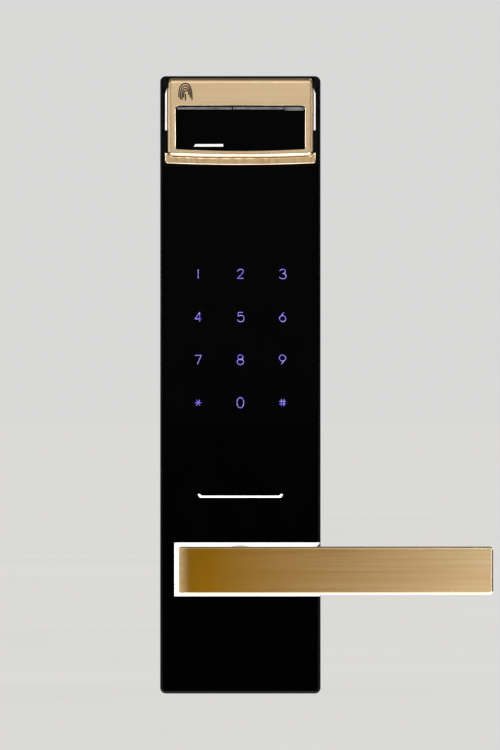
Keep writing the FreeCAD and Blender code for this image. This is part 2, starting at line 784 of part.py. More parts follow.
def fingerprint_bay(doc, s):
    """The black tray behind the cover: a flange in the housing's recess, a well for the sensor, and an ear at
    each top corner that carries the cover's hinge bar."""
    piece = Piece(doc, "fingerprint_bay")
    corner = s.recess_round - s.close_fit
    flange = rectangle(-s.bay_half, s.bay_half, s.bay_bottom, s.bay_top, corner)
    piece.pad("front", s.glass_seat, flange, s.flange_thickness)
    wall = 1.2
    shell = rectangle(
        -s.well_half - wall, s.well_half + wall, s.well_bottom - wall, s.well_top + wall, 1.7
    )
    piece.pad("front", s.bay_floor - wall, shell, s.glass_seat - s.bay_floor + wall + s.flange_thickness / 2)
    well = rectangle(-s.well_half, s.well_half, s.well_bottom, s.well_top, 1)
    piece.pocket("front", s.bay_floor, well, s.flange_front - s.bay_floor)
    ear_in, ear_low = s.cover_half + s.fit, s.hinge_z - s.barrel
    ear_depth = s.hinge_depth + s.barrel - s.flange_front
    ears = together(
        rectangle(ear_in, s.bay_half, ear_low, s.bay_top, corner),
        rectangle(-s.bay_half, -ear_in, ear_low, s.bay_top, corner),
    )
    piece.pad("front", s.flange_front - 0.5, ears, ear_depth + 0.5 - 0.6)
    pins = circles([(-s.hinge_depth, s.hinge_z)], 1.5)
    piece.pocket("side", -s.bay_half + 0.5, pins, s.body_width - 2 * s.rim - 2 * s.close_fit - 1)
    centre = s.sensor_centre()
    sensor = rectangle(
        -s.sensor_width / 2 - s.close_fit, s.sensor_width / 2 + s.close_fit,
        centre - s.sensor_height / 2 - s.close_fit, centre + s.sensor_height / 2 + s.close_fit, 1,
    )
    piece.pocket("front", s.bay_floor - wall, sensor, wall)
    piece.pocket("front", s.glass_seat, circles(s.bay_screw_places(), 1.7), s.flange_thickness)
    sinks = circles(s.bay_screw_places(), 3.2)
    piece.pocket("front", s.flange_front - 0.55, sinks, 0.55)


def bay_lip(doc, s):
    """The gold lip that the closed cover stands on. Its ends turn up beside the cover's round corners."""
    piece = Piece(doc, "bay_lip")
    half = s.lip_width / 2
    top = s.lip_bottom + s.lip_height
    front = s.cover_front - 2.2
    outline = bowed(-half, half, s.lip_bottom + s.cover_bow, top + 2.6, s.cover_bow, 1.2)
    piece.pad("front", s.flange_front, outline, front - s.flange_front)
    seat_half = s.cover_half + s.fit
    seat = bowed(
        -seat_half, seat_half, top + s.cover_bow, top + 6, s.cover_bow, s.cover_corner + s.fit
    )
    piece.pocket("front", s.flange_front, seat, front - s.flange_front)
    piece.round(0.5, at_depth(front))


def side_rails(doc, s):
    """A polished strip at each side of the cover's upper half, tapered at its top."""
    inside = s.cover_half + s.fit
    outside = s.lip_width / 2
    low = s.hinge_z - s.barrel - 21
    high = s.hinge_z - s.hinge_pin - 0.1
    depth = s.cover_front - 1.4 - s.flange_front
    for label, way in (("left_side_rail", -1), ("right_side_rail", 1)):
        piece = Piece(doc, label)
        outline = [(inside, low), (outside, low), (outside, high - 3), (inside, high)]
        mirrored = [(way * x, z) for x, z in outline]
        piece.pad("front", s.flange_front, polygon(mirrored[::way]), depth)


def sensor_module(doc, s):
    """The sensor's body, held behind the bay's floor with its block standing up through the floor."""
    piece = Piece(doc, "sensor_module")
    centre = s.sensor_centre()
    half_x, half_z = s.sensor_width / 2, s.sensor_height / 2
    back = s.bay_floor - 1.2
    foot = rectangle(-half_x - 3, half_x + 3, centre - half_z - 3, centre + half_z + 3, 1)
    piece.pad("front", back - 1.6, foot, 1.55)
    tower = rectangle(-half_x, half_x, centre - half_z, centre + half_z, 0.9)
    piece.pad("front", back - 0.6, tower, 0.6 + 1.2 + 2.2)


def sensor_trim(doc, s):
    """A polished frame and the glass pad inside it, on top of the sensor's block."""
    centre = s.sensor_centre()
    half_x, half_z = s.sensor_width / 2, s.sensor_height / 2
    seat = s.bay_floor + 2.21
    bezel = Piece(doc, "sensor_bezel")
    bezel.pad("front", seat, rectangle(-half_x, half_x, centre - half_z, centre + half_z, 0.9), 0.9)
    band = 2
    inner = rectangle(-half_x + band, half_x - band, centre - half_z + band, centre + half_z - band, 1.2)
    bezel.pocket("front", seat, inner, 0.9)
    pad = Piece(doc, "sensor_glass")
    gap = band + s.close_fit
    glass = rectangle(-half_x + gap, half_x - gap, centre - half_z + gap, centre + half_z - gap, 1.1)
    pad.pad("front", seat, glass, 0.6)


def sensor_board(doc, s):
    piece = Piece(doc, "sensor_board")
    centre = s.sensor_centre()
    back = s.bay_floor - 2.8 - 0.02 - s.board_thickness
    outline = rectangle(-15, 15, centre - 16, centre + 13.5, 1)
    piece.pad("front", back, outline, s.board_thickness)


def sensor_ribbon(doc, s):
    """A flat cable from the sensor's board down to the socket on the main board's rear face."""
    piece = Piece(doc, "sensor_ribbon")
    thick = 0.35
    start = s.bay_floor - 2.8 - 0.04 - s.board_thickness
    high = s.sensor_centre() - 12
    low = s.board_top - 12 + 0.05
    end = s.board_back - 1
    bend_high, bend_low = s.well_bottom - 4, s.board_top - 2
    slot = s.board_back - 2.4
    outline = [
        (-start, high), (-start, bend_high), (-slot, bend_low), (-end, low),
        (-end + thick, low), (-slot + thick, bend_low), (-start + thick, bend_high), (-start + thick, high),
    ]
    piece.pad("side", -5, polygon(outline), 10)


def bay_screws(doc, s):
    seat = s.flange_front - 0.53
    screws = [screw(doc, x, z, seat, 2.4, 1.5, False, 0.32) for x, z in s.bay_screw_places()]
    group(doc, "bay_screws", screws)


# -------------------------------------------------------------------------- fingerprint cover


def cover_frame(doc, s):
    """The gold cover: a shallow box with a window, a full round top edge that is its hinge barrel, and a
    lower edge that bows down."""
    piece = Piece(doc, "cover_frame")
    outline = bowed(
        -s.cover_half, s.cover_half, s.cover_bottom + s.cover_bow, s.cover_top, s.cover_bow, s.cover_corner
    )
    piece.pad("front", s.cover_back, outline, s.cover_thickness)
    top = float(s.cover_top)
    piece.round(
        s.barrel - 0.01,
        lambda edge: edge.BoundBox.ZMin > top - 1e-3 and edge.BoundBox.XLength > 1,
    )
    front = float(s.cover_front)
    low = float(s.cover_bottom + s.cover_corner)
    piece.round(2, lambda edge: at_depth(front)(edge) and edge.BoundBox.ZMax < low + 1e-3)
    half_x = s.window_width / 2
    hollow_half, hollow_top = half_x + s.hollow_margin, s.hinge_z - s.barrel - 0.6
    hollow_low = s.window_bottom - s.hollow_margin
    hollow = rectangle(-hollow_half, hollow_half, hollow_low, hollow_top, 1)
    piece.pocket("front", s.cover_back, hollow, s.cover_thickness - s.cover_skin)
    window = bowed(-half_x, half_x, s.window_bottom, s.window_top, s.window_bow, 1)
    piece.pocket("front", s.cover_front - s.cover_skin, window, s.cover_skin)
    piece.round(s.window_corner, window_top_corners(s, half_x, s.window_top))
    bore = circles([(-s.hinge_depth, s.hinge_z)], s.hinge_pin + 2 * 0.05)
    piece.pocket("side", -s.cover_half, bore, s.cover_width)
    notch = 5
    spring_room = circles([(-s.hinge_depth, s.hinge_z)], s.cover_thickness - 1.6)
    piece.pocket("side", -notch, spring_room, 2 * notch)
    slot = rectangle(-s.hinge_depth, -s.cover_back, s.hinge_z - s.barrel - 1, s.hinge_z + s.barrel)
    piece.pocket("side", -notch, slot, 2 * notch)


def window_top_corners(s, half_x, top):
    """A test for the edges at the upper corners of the window's opening, or of the panel in it."""
    half_x, top, short = float(half_x), float(top), float(s.cover_skin) + 0.1

    def test(edge):
        box = edge.BoundBox
        straight = box.XLength < 1e-3 and box.ZLength < 1e-3 and box.YLength < short
        return straight and abs(abs(box.XMin) - half_x) < 1e-3 and abs(box.ZMin - top) < 1e-3

    return test


def cover_window(doc, s):
    """The smoked window: a flange behind the frame's skin and a raised panel in the opening."""
    piece = Piece(doc, "cover_window")
    half_x = s.window_width / 2
    grow = 1.5
    skin_back = s.cover_front - s.cover_skin
    flange = rectangle(-half_x - grow, half_x + grow, s.window_bottom - grow, s.window_top + grow, 1)
    piece.pad("front", skin_back - 1.3, flange, 1.28)
    gap = s.close_fit
    panel_top = s.window_top - gap
    panel = bowed(-half_x + gap, half_x - gap, s.window_bottom + gap, panel_top, s.window_bow, 0.9)
    piece.pad("front", skin_back - 0.5, panel, 0.5 + s.cover_skin - 0.6)
    piece.round(s.window_corner - gap, window_top_corners(s, half_x - gap, panel_top))


def cover_trim(doc, s):
    """What stands on the window: three indicator bars along its top, and a bright bar at its lower left."""
    seat = s.cover_front - 0.6 + 0.01
    half_x = s.window_width / 2
    high = s.window_top - 0.8
    bars = []
    for left, right, tall in ((-half_x + 1, -4.3, 1.2), (-3.7, 21.8, 1.2), (22.2, half_x - 0.9, 1.7)):
        bars.append(block(doc, left, right, seat, seat + 0.35, high - tall, high))
    group(doc, "indicator_bars", bars)
    piece = Piece(doc, "accent_bar")
    low = s.window_bottom + 1.3
    outline = [(-23.2, low), (-8.6, low), (-8.6, low + 1.2), (-22.4, low + 1.2)]
    piece.pad("front", seat, polygon(outline), 0.35)


def cover_backing(doc, s):
    """The black plate that closes the cover from behind."""
    piece = Piece(doc, "cover_backing")
    gap = s.close_fit
    half_x = s.window_width / 2 + s.hollow_margin - gap
    low, high = s.window_bottom - s.hollow_margin + gap, s.hinge_z - s.barrel - 0.6 - gap
    depth = s.cover_thickness - s.cover_skin - 1.3 - 0.05
    piece.pad("front", s.cover_back, rectangle(-half_x, half_x, low, high, 0.9), depth)
    piece.pocket("front", s.cover_back, circles([(0, low + 4)], 5.1), 1.5)
    piece.pocket("front", s.cover_back, circles(cover_screw_places(s), 2.6), 0.6)


def cover_screw_places(s):
    side = s.window_width / 2 - 2.5
    return [(way * side, z) for z in (s.window_bottom + 1.5, s.window_top + 4) for way in (-1, 1)]


def cover_screws(doc, s):
    """Flat discs with a cross recess, sunk in the backing plate."""
    heads = []
    for x, z in cover_screw_places(s):
        head = disc(doc, x, z, s.cover_back + 0.05, s.cover_back + 0.58, 2.5)
        across = block(doc, x - 0.8, x + 0.8, s.cover_back, s.cover_back + 0.3, z - 0.15, z + 0.15)
        down = block(doc, x - 0.15, x + 0.15, s.cover_back, s.cover_back + 0.3, z - 0.8, z + 0.8)
        heads.append(cut(doc, head, across, down))
    group(doc, "cover_screws", heads)


def cover_magnet(doc, s):
    low = s.window_bottom - s.hollow_margin + s.close_fit
    keep(disc(doc, 0, low + 4, s.cover_back + 0.1, s.cover_back + 1.48, 5), "cover_magnet")


def cover_hinge_bar(doc, s):
    """A spring bar like a watch strap's: a tube through the cover's barrel, with a thinner tip in each ear."""
    half = s.cover_half - 0.2
    tip = half + 0.2 + s.fit + 1.4
    tube = rod(doc, "right", -half, s.hinge_depth, s.hinge_z, 2 * half, s.hinge_pin)
    tips = rod(doc, "right", -tip, s.hinge_depth, s.hinge_z, 2 * tip, 1.4)
    keep(join(doc, tube, tips), "cover_hinge_bar")


def cover_spring(doc, s):
    """The torsion spring that closes the cover, on the hinge bar."""
    wire = 0.4
    radius = float(s.hinge_pin) / 2 + wire / 2 + 0.1
    shape = coil(wire, radius, 12, 0.6)
    shape.rotate(Vector(), Vector(0, 1, 0), 90)
    shape.translate(Vector(-3.6, -float(s.hinge_depth), float(s.hinge_z)))
    shaped(doc, "cover_spring", shape)


def cover_bumpers(doc, s):
    """Two rubber dots that the closed cover rests on."""
    side = s.cover_half - 4
    height = s.cover_bottom + 2.6
    dots = [disc(doc, way * side, height, s.flange_front, s.cover_back - 0.05, 3.4) for way in (-1, 1)]
    group(doc, "cover_bumpers", dots)


# --------------------------------------------------------------------------------------- lever


def bar_profile(front, thickness, radius, flat_from, tail, tip):
    """The lever bar seen from above: straight to the tip, and curled back about one centre at the tail."""
    front, thickness, radius = as_size(front), as_size(thickness), as_size(radius)
    inner = radius - thickness
    inner_tail = flat_from - inner * (flat_from - tail) / radius

    def height_on(circle_radius, x):
        run = float(flat_from) - float(x)
        return -(float(front) - float(radius)) - math.sqrt(float(circle_radius) ** 2 - run**2)

    def draw(sketch):
        centre = Vector(float(flat_from), -float(front) + float(radius), 0)
        outer_end = Vector(float(tail), height_on(radius, tail), 0)
        inner_end = Vector(float(inner_tail), height_on(inner, inner_tail), 0)
        outer_flat = Vector(float(flat_from), -float(front), 0)
        inner_flat = Vector(float(flat_from), -float(front) + float(thickness), 0)
        outer_tip = Vector(float(tip), -float(front), 0)
        inner_tip = Vector(float(tip), -float(front) + float(thickness), 0)

        def arc(circle_radius, end):
            circle = Part.Circle(centre, Vector(0, 0, 1), float(circle_radius))
            across = end - centre
            return Part.ArcOfCircle(circle, math.atan2(across.y, across.x), -math.pi / 2)

        outer_arc = sketch.addGeometry(arc(radius, outer_end))
        front_line = sketch.addGeometry(Part.LineSegment(outer_flat, outer_tip))
        tip_line = sketch.addGeometry(Part.LineSegment(outer_tip, inner_tip))
        back_line = sketch.addGeometry(Part.LineSegment(inner_tip, inner_flat))
        inner_arc = sketch.addGeometry(arc(inner, inner_end))
        end_line = sketch.addGeometry(Part.LineSegment(inner_end, outer_end))
        sketch.addConstraint(
            [
                Sketcher.Constraint("Tangent", outer_arc, 2, front_line, 1),
                Sketcher.Constraint("Coincident", front_line, 2, tip_line, 1),
                Sketcher.Constraint("Coincident", tip_line, 2, back_line, 1),
                Sketcher.Constraint("Tangent", back_line, 2, inner_arc, 2),
                Sketcher.Constraint("Coincident", inner_arc, 1, end_line, 1),
                Sketcher.Constraint("Coincident", end_line, 2, outer_arc, 1),
                Sketcher.Constraint("Coincident", inner_arc, 3, outer_arc, 3),
                Sketcher.Constraint("Vertical", tip_line),
                Sketcher.Constraint("Horizontal", back_line),
            ]
        )
        fix_point(sketch, outer_arc, 3, flat_from, radius - front)
        fix_radius(sketch, outer_arc, radius)
        fix_radius(sketch, inner_arc, inner)
        for line, x in ((end_line, inner_tail), (tip_line, tip), (outer_arc, tail)):
            index = sketch.addConstraint(Sketcher.Constraint("DistanceX", -1, 1, line, 1, float(x)))
            sketch.setExpression(f"Constraints[{index}]", as_size(x).text)
        index = sketch.addConstraint(Sketcher.Constraint("DistanceY", -1, 1, tip_line, 1, -float(front)))
        sketch.setExpression(f"Constraints[{index}]", (-front).text)

    return draw


def lever_arm(doc, s):
    """The polished lever: the bar's body, the neck on the spindle axis and the journal behind it."""
    piece = Piece(doc, "lever_arm")
    flat_from = s.roll_length - s.lever_tail
    inner_radius = s.roll_radius - s.face_thickness
    tail = flat_from - inner_radius * s.roll_length / s.roll_radius
    inset = 0.25
    bar = bar_profile(s.face_back - 0.02, s.arm_thickness, inner_radius, flat_from, tail, s.tip - inset)
    height = s.lever_height - 2 * inset
    piece.pad("top", -height / 2, bar, height)
    piece.round(1.4, along_depth(s.tip - inset - 0.1, s.tip + 1))
    back = float(s.arm_back - 0.02)
    start = float(flat_from)
    piece.round(1.2, lambda edge: at_depth(back)(edge) and edge.BoundBox.XMax > start + 1)
    neck = circles([(0, 0)], s.neck_diameter)
    piece.pad("front", s.neck_back, neck, s.arm_back - s.neck_back + 2)
    neck_width = float(s.neck_diameter)
    piece.round(0.8, lambda edge: at_depth(back)(edge) and abs(edge.BoundBox.XLength - neck_width) < 0.1)
    journal = circles([(0, 0)], s.journal_diameter)
    piece.pad("front", s.journal_back, journal, s.neck_back - s.journal_back + 1)
    half = s.square_hole / 2
    square = rectangle(-half, half, -half, half)
    piece.pocket("front", s.journal_back, square, s.neck_back + 12 - s.journal_back)
    piece.pocket("top", -s.neck_diameter, circles([(0, -s.neck_back - 7)], 5.1), s.neck_diameter)
    groove = together(
        circles([(0, 0)], s.journal_diameter + 1), circles([(0, 0)], s.journal_diameter - 1.4)
    )
    piece.pocket("front", s.ring_back - 0.05, groove, 1.1)


def lever_face_plate(doc, s):
    """The brushed gold plate that covers the whole front of the bar."""
    piece = Piece(doc, "lever_face_plate")
    flat_from = s.roll_length - s.lever_tail
    bar = bar_profile(s.lever_reach, s.face_thickness, s.roll_radius, flat_from, -s.lever_tail, s.tip)
    piece.pad("top", -s.lever_height / 2, bar, s.lever_height)
    piece.round(1.6, along_depth(s.tip - 0.1, s.tip + 1))
    start = float(flat_from)
    front = float(s.lever_reach)
    radius = float(s.roll_radius)

    def on_front(edge):
        """Edges of the outline on the plate's front, flat or curled."""
        for end in (edge.firstVertex().Point, edge.lastVertex().Point):
            run = max(0.0, start - end.x)
            surface = front - radius + math.sqrt(radius**2 - run**2)
            if abs(end.y + surface) > 1e-3:
                return False
        return edge.BoundBox.YLength < 1e-3 or edge.BoundBox.ZLength < 1e-3

    piece.bevel(0.45, lambda edge: on_front(edge) and edge.Length > 0.5 and not inner_seam(edge))


def inner_seam(edge):
    """Whether the edge only divides two faces that meet smoothly."""
    box = edge.BoundBox
    return box.ZLength > 15 and box.XLength < 1e-3 and box.YLength < 1e-3 and abs(box.XMin) < 20


def lever_set_screw(doc, s):
    """The grub screw under the neck that pins the lever to the spindle."""
    depth = s.neck_back + 7
    low = -s.neck_diameter / 2 + 1
    length = s.neck_diameter / 2 - 1 - s.spindle_side / 2 - 0.02
    body = rod(doc, "up", 0, depth, low, length, 5)
    socket = doc.addObject("Part::Prism", "hexagon")
    socket.Polygon = 6
    bind(socket, "Circumradius", 1.45)
    bind(socket, "Height", 2.5)
    place(socket, 0, depth, low)
    keep(cut(doc, body, socket), "lever_set_screw")


def lever_base_plate(doc, s):
    """The polished plate under the lever. Its right end is flush with the housing's side."""
    piece = Piece(doc, "lever_base_plate")
    half = s.plate_height / 2
    outline = rectangle(-s.plate_tail, s.half_width, -half, half)
    foot = s.plate_thickness - s.plate_rise
    piece.pad("front", s.body_depth + 0.02, outline, foot - 0.02)
    slope = piece.pad("front", s.body_depth + foot, outline, s.plate_rise)
    bind(slope, "TaperAngle", -s.plate_slope)
    piece.doc.recompute()
    hole = circles([(0, 0)], s.bushing_diameter + 2 * s.close_fit)
    piece.pocket("front", s.body_depth, hole, s.plate_thickness)
    flange = circles([(0, 0)], s.bushing_diameter + 4.2)
    piece.pocket("front", s.plate_front - 1, flange, 1)
    piece.pocket("front", s.body_depth, circles(s.base_screw_places(), 2.5), s.plate_thickness - 1)


def base_plate_screws(doc, s):
    length = s.body_depth + s.plate_thickness - 1.2 - s.wall_back
    screws = [screw(doc, x, z, s.wall_back - 0.02, length, 2.4) for x, z in s.base_screw_places()]
    group(doc, "base_plate_screws", screws)


def hub_bushing(doc, s):
    """The nylon bushing that the lever's journal turns in."""
    piece = Piece(doc, "hub_bushing")
    piece.pad("front", s.wall_back, circles([(0, 0)], s.bushing_diameter), s.plate_front - s.wall_back - 0.1)
    flange = circles([(0, 0)], s.bushing_diameter + 4)
    piece.pad("front", s.plate_front - 0.98, flange, 1.1)
    bore = circles([(0, 0)], s.journal_diameter + 0.1)
    piece.pocket("front", s.wall_back - 1, bore, s.plate_front - s.wall_back + 2)


def hub_washer(doc, s):
    outer = disc(doc, 0, 0, s.washer_back, s.wall_back - 0.05, s.bushing_diameter + 5)
    hole = disc(doc, 0, 0, s.washer_back - 1, s.wall_back + 1, s.journal_diameter + 0.2)
    keep(cut(doc, outer, hole), "hub_washer")


def hub_retaining_ring(doc, s):
    """A snap ring in the journal's groove, open at the bottom."""
    front = s.ring_back + 1
    outer = disc(doc, 0, 0, s.ring_back, front, s.journal_diameter + 4)
    hole = disc(doc, 0, 0, s.ring_back - 1, front + 1, s.journal_diameter - 1.3)
    gap = block(doc, -2.5, 2.5, s.ring_back - 1, front + 1, -s.journal_diameter, 0)
    keep(cut(doc, outer, hole, gap), "hub_retaining_ring")


def spindle(doc, s):
    """The square bar that carries the lever's turn to the lock case inside the door."""
    piece = Piece(doc, "spindle")
    half = s.spindle_side / 2
    front = s.neck_back + 11.5
    piece.pad("front", -s.spindle_length, rectangle(-half, half, -half, half), s.spindle_length + front)
    piece.bevel(0.6, at_depth(-s.spindle_length))


# ----------------------------------------------------------------------------- return cassette

STOP_HALF_ANGLE = 9.5  # degrees that the stop post and its clearance take on each side
LEG_ANGLE = 201.8  # the return spring's rear leg, in degrees from +X towards +Z
ANCHOR_ANGLE = LEG_ANGLE - 7.6  # the cassette's post, just beside that leg
DRIVE_ANGLE = LEG_ANGLE + 98.4  # the hub's post, just beside the spring's front leg


def on_circle(radius, angle):
    """The point at that radius from the spindle axis, with the angle in degrees from +X towards +Z."""
    return (radius * math.cos(math.radians(angle)), radius * math.sin(math.radians(angle)))


def spring_cassette(doc, s):
    """The cup that holds the return spring, with the post that anchors it and the post that stops the hub."""
    piece = Piece(doc, "spring_cassette")
    back = s.chassis_front + 0.02
    inner = s.cassette_diameter - 2 * s.cassette_wall
    ear = s.cassette_diameter / 2 + 6.6
    ears = rectangle(-ear, ear, -6, 6, 2)
    piece.pad("front", back, circles([(0, 0)], s.cassette_diameter), s.lid_back - back)
    piece.pocket("front", back + 1.5, circles([(0, 0)], inner), s.lid_back - back - 1.5)
    piece.pad("front", back, ears, 1.5)
    piece.pocket("front", back, circles([(0, 0)], s.journal_diameter + 5), 1.5)
    piece.pad("front", back + 1, circles([(0, s.stop_radius)], 4), s.lid_back - back - 1)
    anchor = on_circle(s.stop_radius + 1.8, ANCHOR_ANGLE)
    piece.pad("front", back + 1, circles([anchor], 3), 4.5)
    piece.pocket("front", back, circles(cassette_screw_places(s), 3.2), 1.5)


def cassette_screw_places(s):
    side = s.cassette_diameter / 2 + 3.2
    return [(-side, as_size(0)), (side, as_size(0))]


def cassette_lid(doc, s):
    rim = disc(doc, 0, 0, s.lid_back + 0.02, s.cassette_front, s.cassette_diameter)
    hole = disc(doc, 0, 0, s.lid_back - 1, s.cassette_front + 1, s.journal_diameter + 5)
    keep(cut(doc, rim, hole), "cassette_lid")


def cassette_screws(doc, s):
    seat = s.chassis_front + 0.02 + 1.51
    length = 1.5 + s.chassis_thickness
    screws = [screw(doc, x, z, seat, length, 3, False) for x, z in cassette_screw_places(s)]
    group(doc, "cassette_screws", screws)


def drive_hub(doc, s):
    """The hub on the spindle: a boss with a square hole, and a flange whose notch meets the stop post."""
    back = s.chassis_front + 0.1
    front = s.cassette_front + 0.4
    boss = disc(doc, 0, 0, back, front, s.journal_diameter + 4)
    flange_back, flange_front = s.lid_back - 2.4, s.lid_back - s.fit
    web = disc(doc, 0, 0, flange_back, flange_front, 2 * (s.stop_radius - 2.6))
    rim = disc(doc, 0, 0, flange_back, flange_front, s.cassette_diameter - 2 * s.cassette_wall - 2)
    notch = doc.addObject("Part::Cylinder", "notch")
    bind(notch, "Radius", s.cassette_diameter / 2)
    bind(notch, "Height", flange_front - flange_back + 2)
    bind(notch, "Angle", s.lever_travel + 2 * STOP_HALF_ANGLE)
    place(notch, 0, flange_back - 1, 0, "forwards")
    start = Rotation(Vector(0, 0, 1), 90 - STOP_HALF_ANGLE)
    notch.Placement = Placement(notch.Placement.Base, TURNS["forwards"] * start)
    drive_x, drive_z = on_circle(s.stop_radius + 0.4, DRIVE_ANGLE)
    post = disc(doc, drive_x, drive_z, flange_back - 3, flange_back + 1, 3)
    half = s.square_hole / 2
    square = block(doc, -half, half, back - 1, front + 1, -half, half)
    body = join(doc, boss, web, cut(doc, rim, notch), post)
    keep(cut(doc, body, square), "drive_hub")


def return_spring(doc, s):
    """The torsion spring that lifts the lever back to level: two turns and a bit round the hub, and a leg at
    each end. One leg bears on the cassette's post and the other on the hub's."""
    wire = float(s.return_wire)
    radius = float(s.journal_diameter) / 2 + 2 + wire / 2 + 0.5
    pitch = wire + 0.1
    turns = 2.25
    reach = float(s.cassette_diameter) / 2 - float(s.cassette_wall) - radius - 1
    legs = []
    for turn in (0, turns):
        out = Vector(math.cos(2 * math.pi * turn), math.sin(2 * math.pi * turn), 0)
        start = out * radius + Vector(0, 0, pitch * turn)
        legs.append(Part.makeCylinder(wire / 2, reach, start, out))
    shape = coil(wire, radius, turns, pitch).fuse(legs)
    shape.rotate(Vector(), Vector(1, 0, 0), 90)
    shape.rotate(Vector(), Vector(0, 1, 0), -LEG_ANGLE)
    shape.translate(Vector(0, -(float(s.chassis_front) + 1.7 + wire / 2), 0))
    shaped(doc, "return_spring", shape)


# ---------------------------------------------------------------------------------- rear parts


def rear_chassis(doc, s):
    piece = Piece(doc, "rear_chassis")
    half = s.inner_half - s.fit
    outline = rectangle(-half, half, s.inner_bottom + s.fit, s.inner_top - s.fit, 1)
    piece.pad("front", s.chassis_back, outline, s.chassis_thickness)
    holes = together(
        circles([(0, 0)], s.journal_diameter + 8),
        circles(s.boss_places(), 3),
        circles(cassette_screw_places(s), 3.1),
        circles([(s.cable_side, s.cable_height)], s.cable_hole),
        circles([(0, s.upper_post), (0, -s.lower_post)], s.post_diameter - 1 + 2 * s.close_fit),
        circles([tamper_place(s)], s.tamper_diameter + 2 * s.close_fit),
    )
    piece.pocket("front", s.chassis_back, holes, s.chassis_thickness)
    sinks = circles(s.boss_places(), 6.2)
    piece.pocket("front", s.chassis_back, sinks, 1.2)


def door_gasket(doc, s):
    """The rubber seal between the chassis and the door."""
    piece = Piece(doc, "door_gasket")
    half = s.inner_half - s.fit - 0.2
    low, high = s.inner_bottom + s.fit + 0.2, s.inner_top - s.fit - 0.2
    piece.pad("front", 0, rectangle(-half, half, low, high, 1), s.gasket_thickness - 0.02)
    inner, band = half - s.gasket_width, s.gasket_width
    opening = rectangle(-inner, inner, low + band, high - band, 3)
    piece.pocket("front", 0, opening, s.gasket_thickness)
    piece.pocket("front", 0, circles(s.boss_places(), 5.6), s.gasket_thickness)


def chassis_screws(doc, s):
    seat = s.chassis_back + 1.2 - 0.02
    group(doc, "chassis_screws", [screw(doc, x, z, seat, 9, 2.4) for x, z in s.boss_places()])


def mounting_posts(doc, s):
    """Two tapped posts pressed into the chassis. The bolts from the indoor side screw into them."""
    for label, z in (("upper_mounting_post", s.upper_post), ("lower_mounting_post", -s.lower_post)):
        seat = s.chassis_front + 0.02
        flange = disc(doc, 0, z, seat, seat + 2, s.post_diameter + 5)
        neck = disc(doc, 0, z, s.chassis_back - 0.02, seat + 1, s.post_diameter - 1)
        shank = disc(doc, 0, z, -s.post_length, s.chassis_back - 0.02, s.post_diameter)
        bore = disc(doc, 0, z, -s.post_length - 1, s.chassis_front + 1, s.post_bore)
        keep(cut(doc, join(doc, flange, neck, shank), bore), label)


def cable_grommet(doc, s):
    """The rubber grommet in the chassis's cable hole. No cable is fitted."""
    x, z = s.cable_side, s.cable_height
    sleeve = disc(doc, x, z, s.chassis_back - 1.2, s.chassis_front + 1.2, s.cable_hole - 2 * s.close_fit)
    lip = disc(doc, x, z, s.chassis_front + 0.02, s.chassis_front + 1.2, s.cable_hole + 3)
    back_lip = disc(doc, x, z, s.chassis_back - 1.2, s.chassis_back - 0.02, s.cable_hole + 3)
    bore = disc(doc, x, z, s.chassis_back - 2, s.chassis_front + 2, s.cable_hole - 5)
    keep(cut(doc, join(doc, sleeve, lip, back_lip), bore), "cable_grommet")


def tamper_place(s):
    return (20, -s.spindle_height + 20)


def tamper_switch(doc, s):
    """The switch that notices if the unit is pulled off the door, its plunger and its spring."""
    x, z = tamper_place(s)
    seat = s.chassis_front + 0.02
    bore = s.tamper_diameter + 2 * s.close_fit
    body = block(doc, x - 6.4, x + 6.4, seat, seat + 9, z - 4, z + 4)
    well = disc(doc, x, z, seat - 1, seat + 7, bore + 2)
    keep(cut(doc, body, well), "tamper_switch")
    stem = disc(doc, x, z, -s.tamper_travel, seat + 1.6, s.tamper_diameter)
    collar = disc(doc, x, z, seat + 0.1, seat + 1.1, bore + 1.4)
    keep(join(doc, stem, collar), "tamper_plunger")
    wire = 0.5
    shape = coil(wire, float(s.tamper_diameter) / 2 - 0.2, 4, 1.15)
    shape.rotate(Vector(), Vector(1, 0, 0), 90)
    shape.translate(Vector(float(x), -(float(seat) + 1.6 + wire / 2 + 0.1), float(z)))
    shaped(doc, "tamper_spring", shape)


def battery_contacts(doc, s):
    """Two contacts under the housing that a 9 V battery is held against when the inner batteries are flat,
    and the block that holds them."""
    studs = []
    for x in s.contact_places():
        depth = s.body_depth / 2
        head = rod(doc, "up", x, depth, s.bottom + 0.1, 0.68, 6)
        pin = rod(doc, "up", x, depth, s.bottom + 0.1, s.side_wall + 5, 2.6)
        studs.append(join(doc, head, pin))
    group(doc, "battery_contacts", studs)
    low = s.inner_bottom + 0.05
    holder = block(doc, -12, 12, s.body_depth / 2 - 3.5, s.body_depth / 2 + 3.5, low, low + 4)
    holes = [rod(doc, "up", x, s.body_depth / 2, low - 1, 6, 2.8) for x in s.contact_places()]
    keep(cut(doc, holder, *holes), "contact_holder")


# ---------------------------------------------------------------------------------------- build


def check(doc):
    """Stops if any object failed or any sub-part's shape is unsound."""
    for thing in doc.Objects:
        if "Invalid" in thing.State or "Error" in thing.State:
            raise RuntimeError(f"{thing.Label} failed: {thing.State}")
    for part in PARTS:
        shape = part.Shape
        if shape.isNull() or not shape.isValid() or not shape.Solids:
            raise RuntimeError(f"{part.Label} has no sound solid")


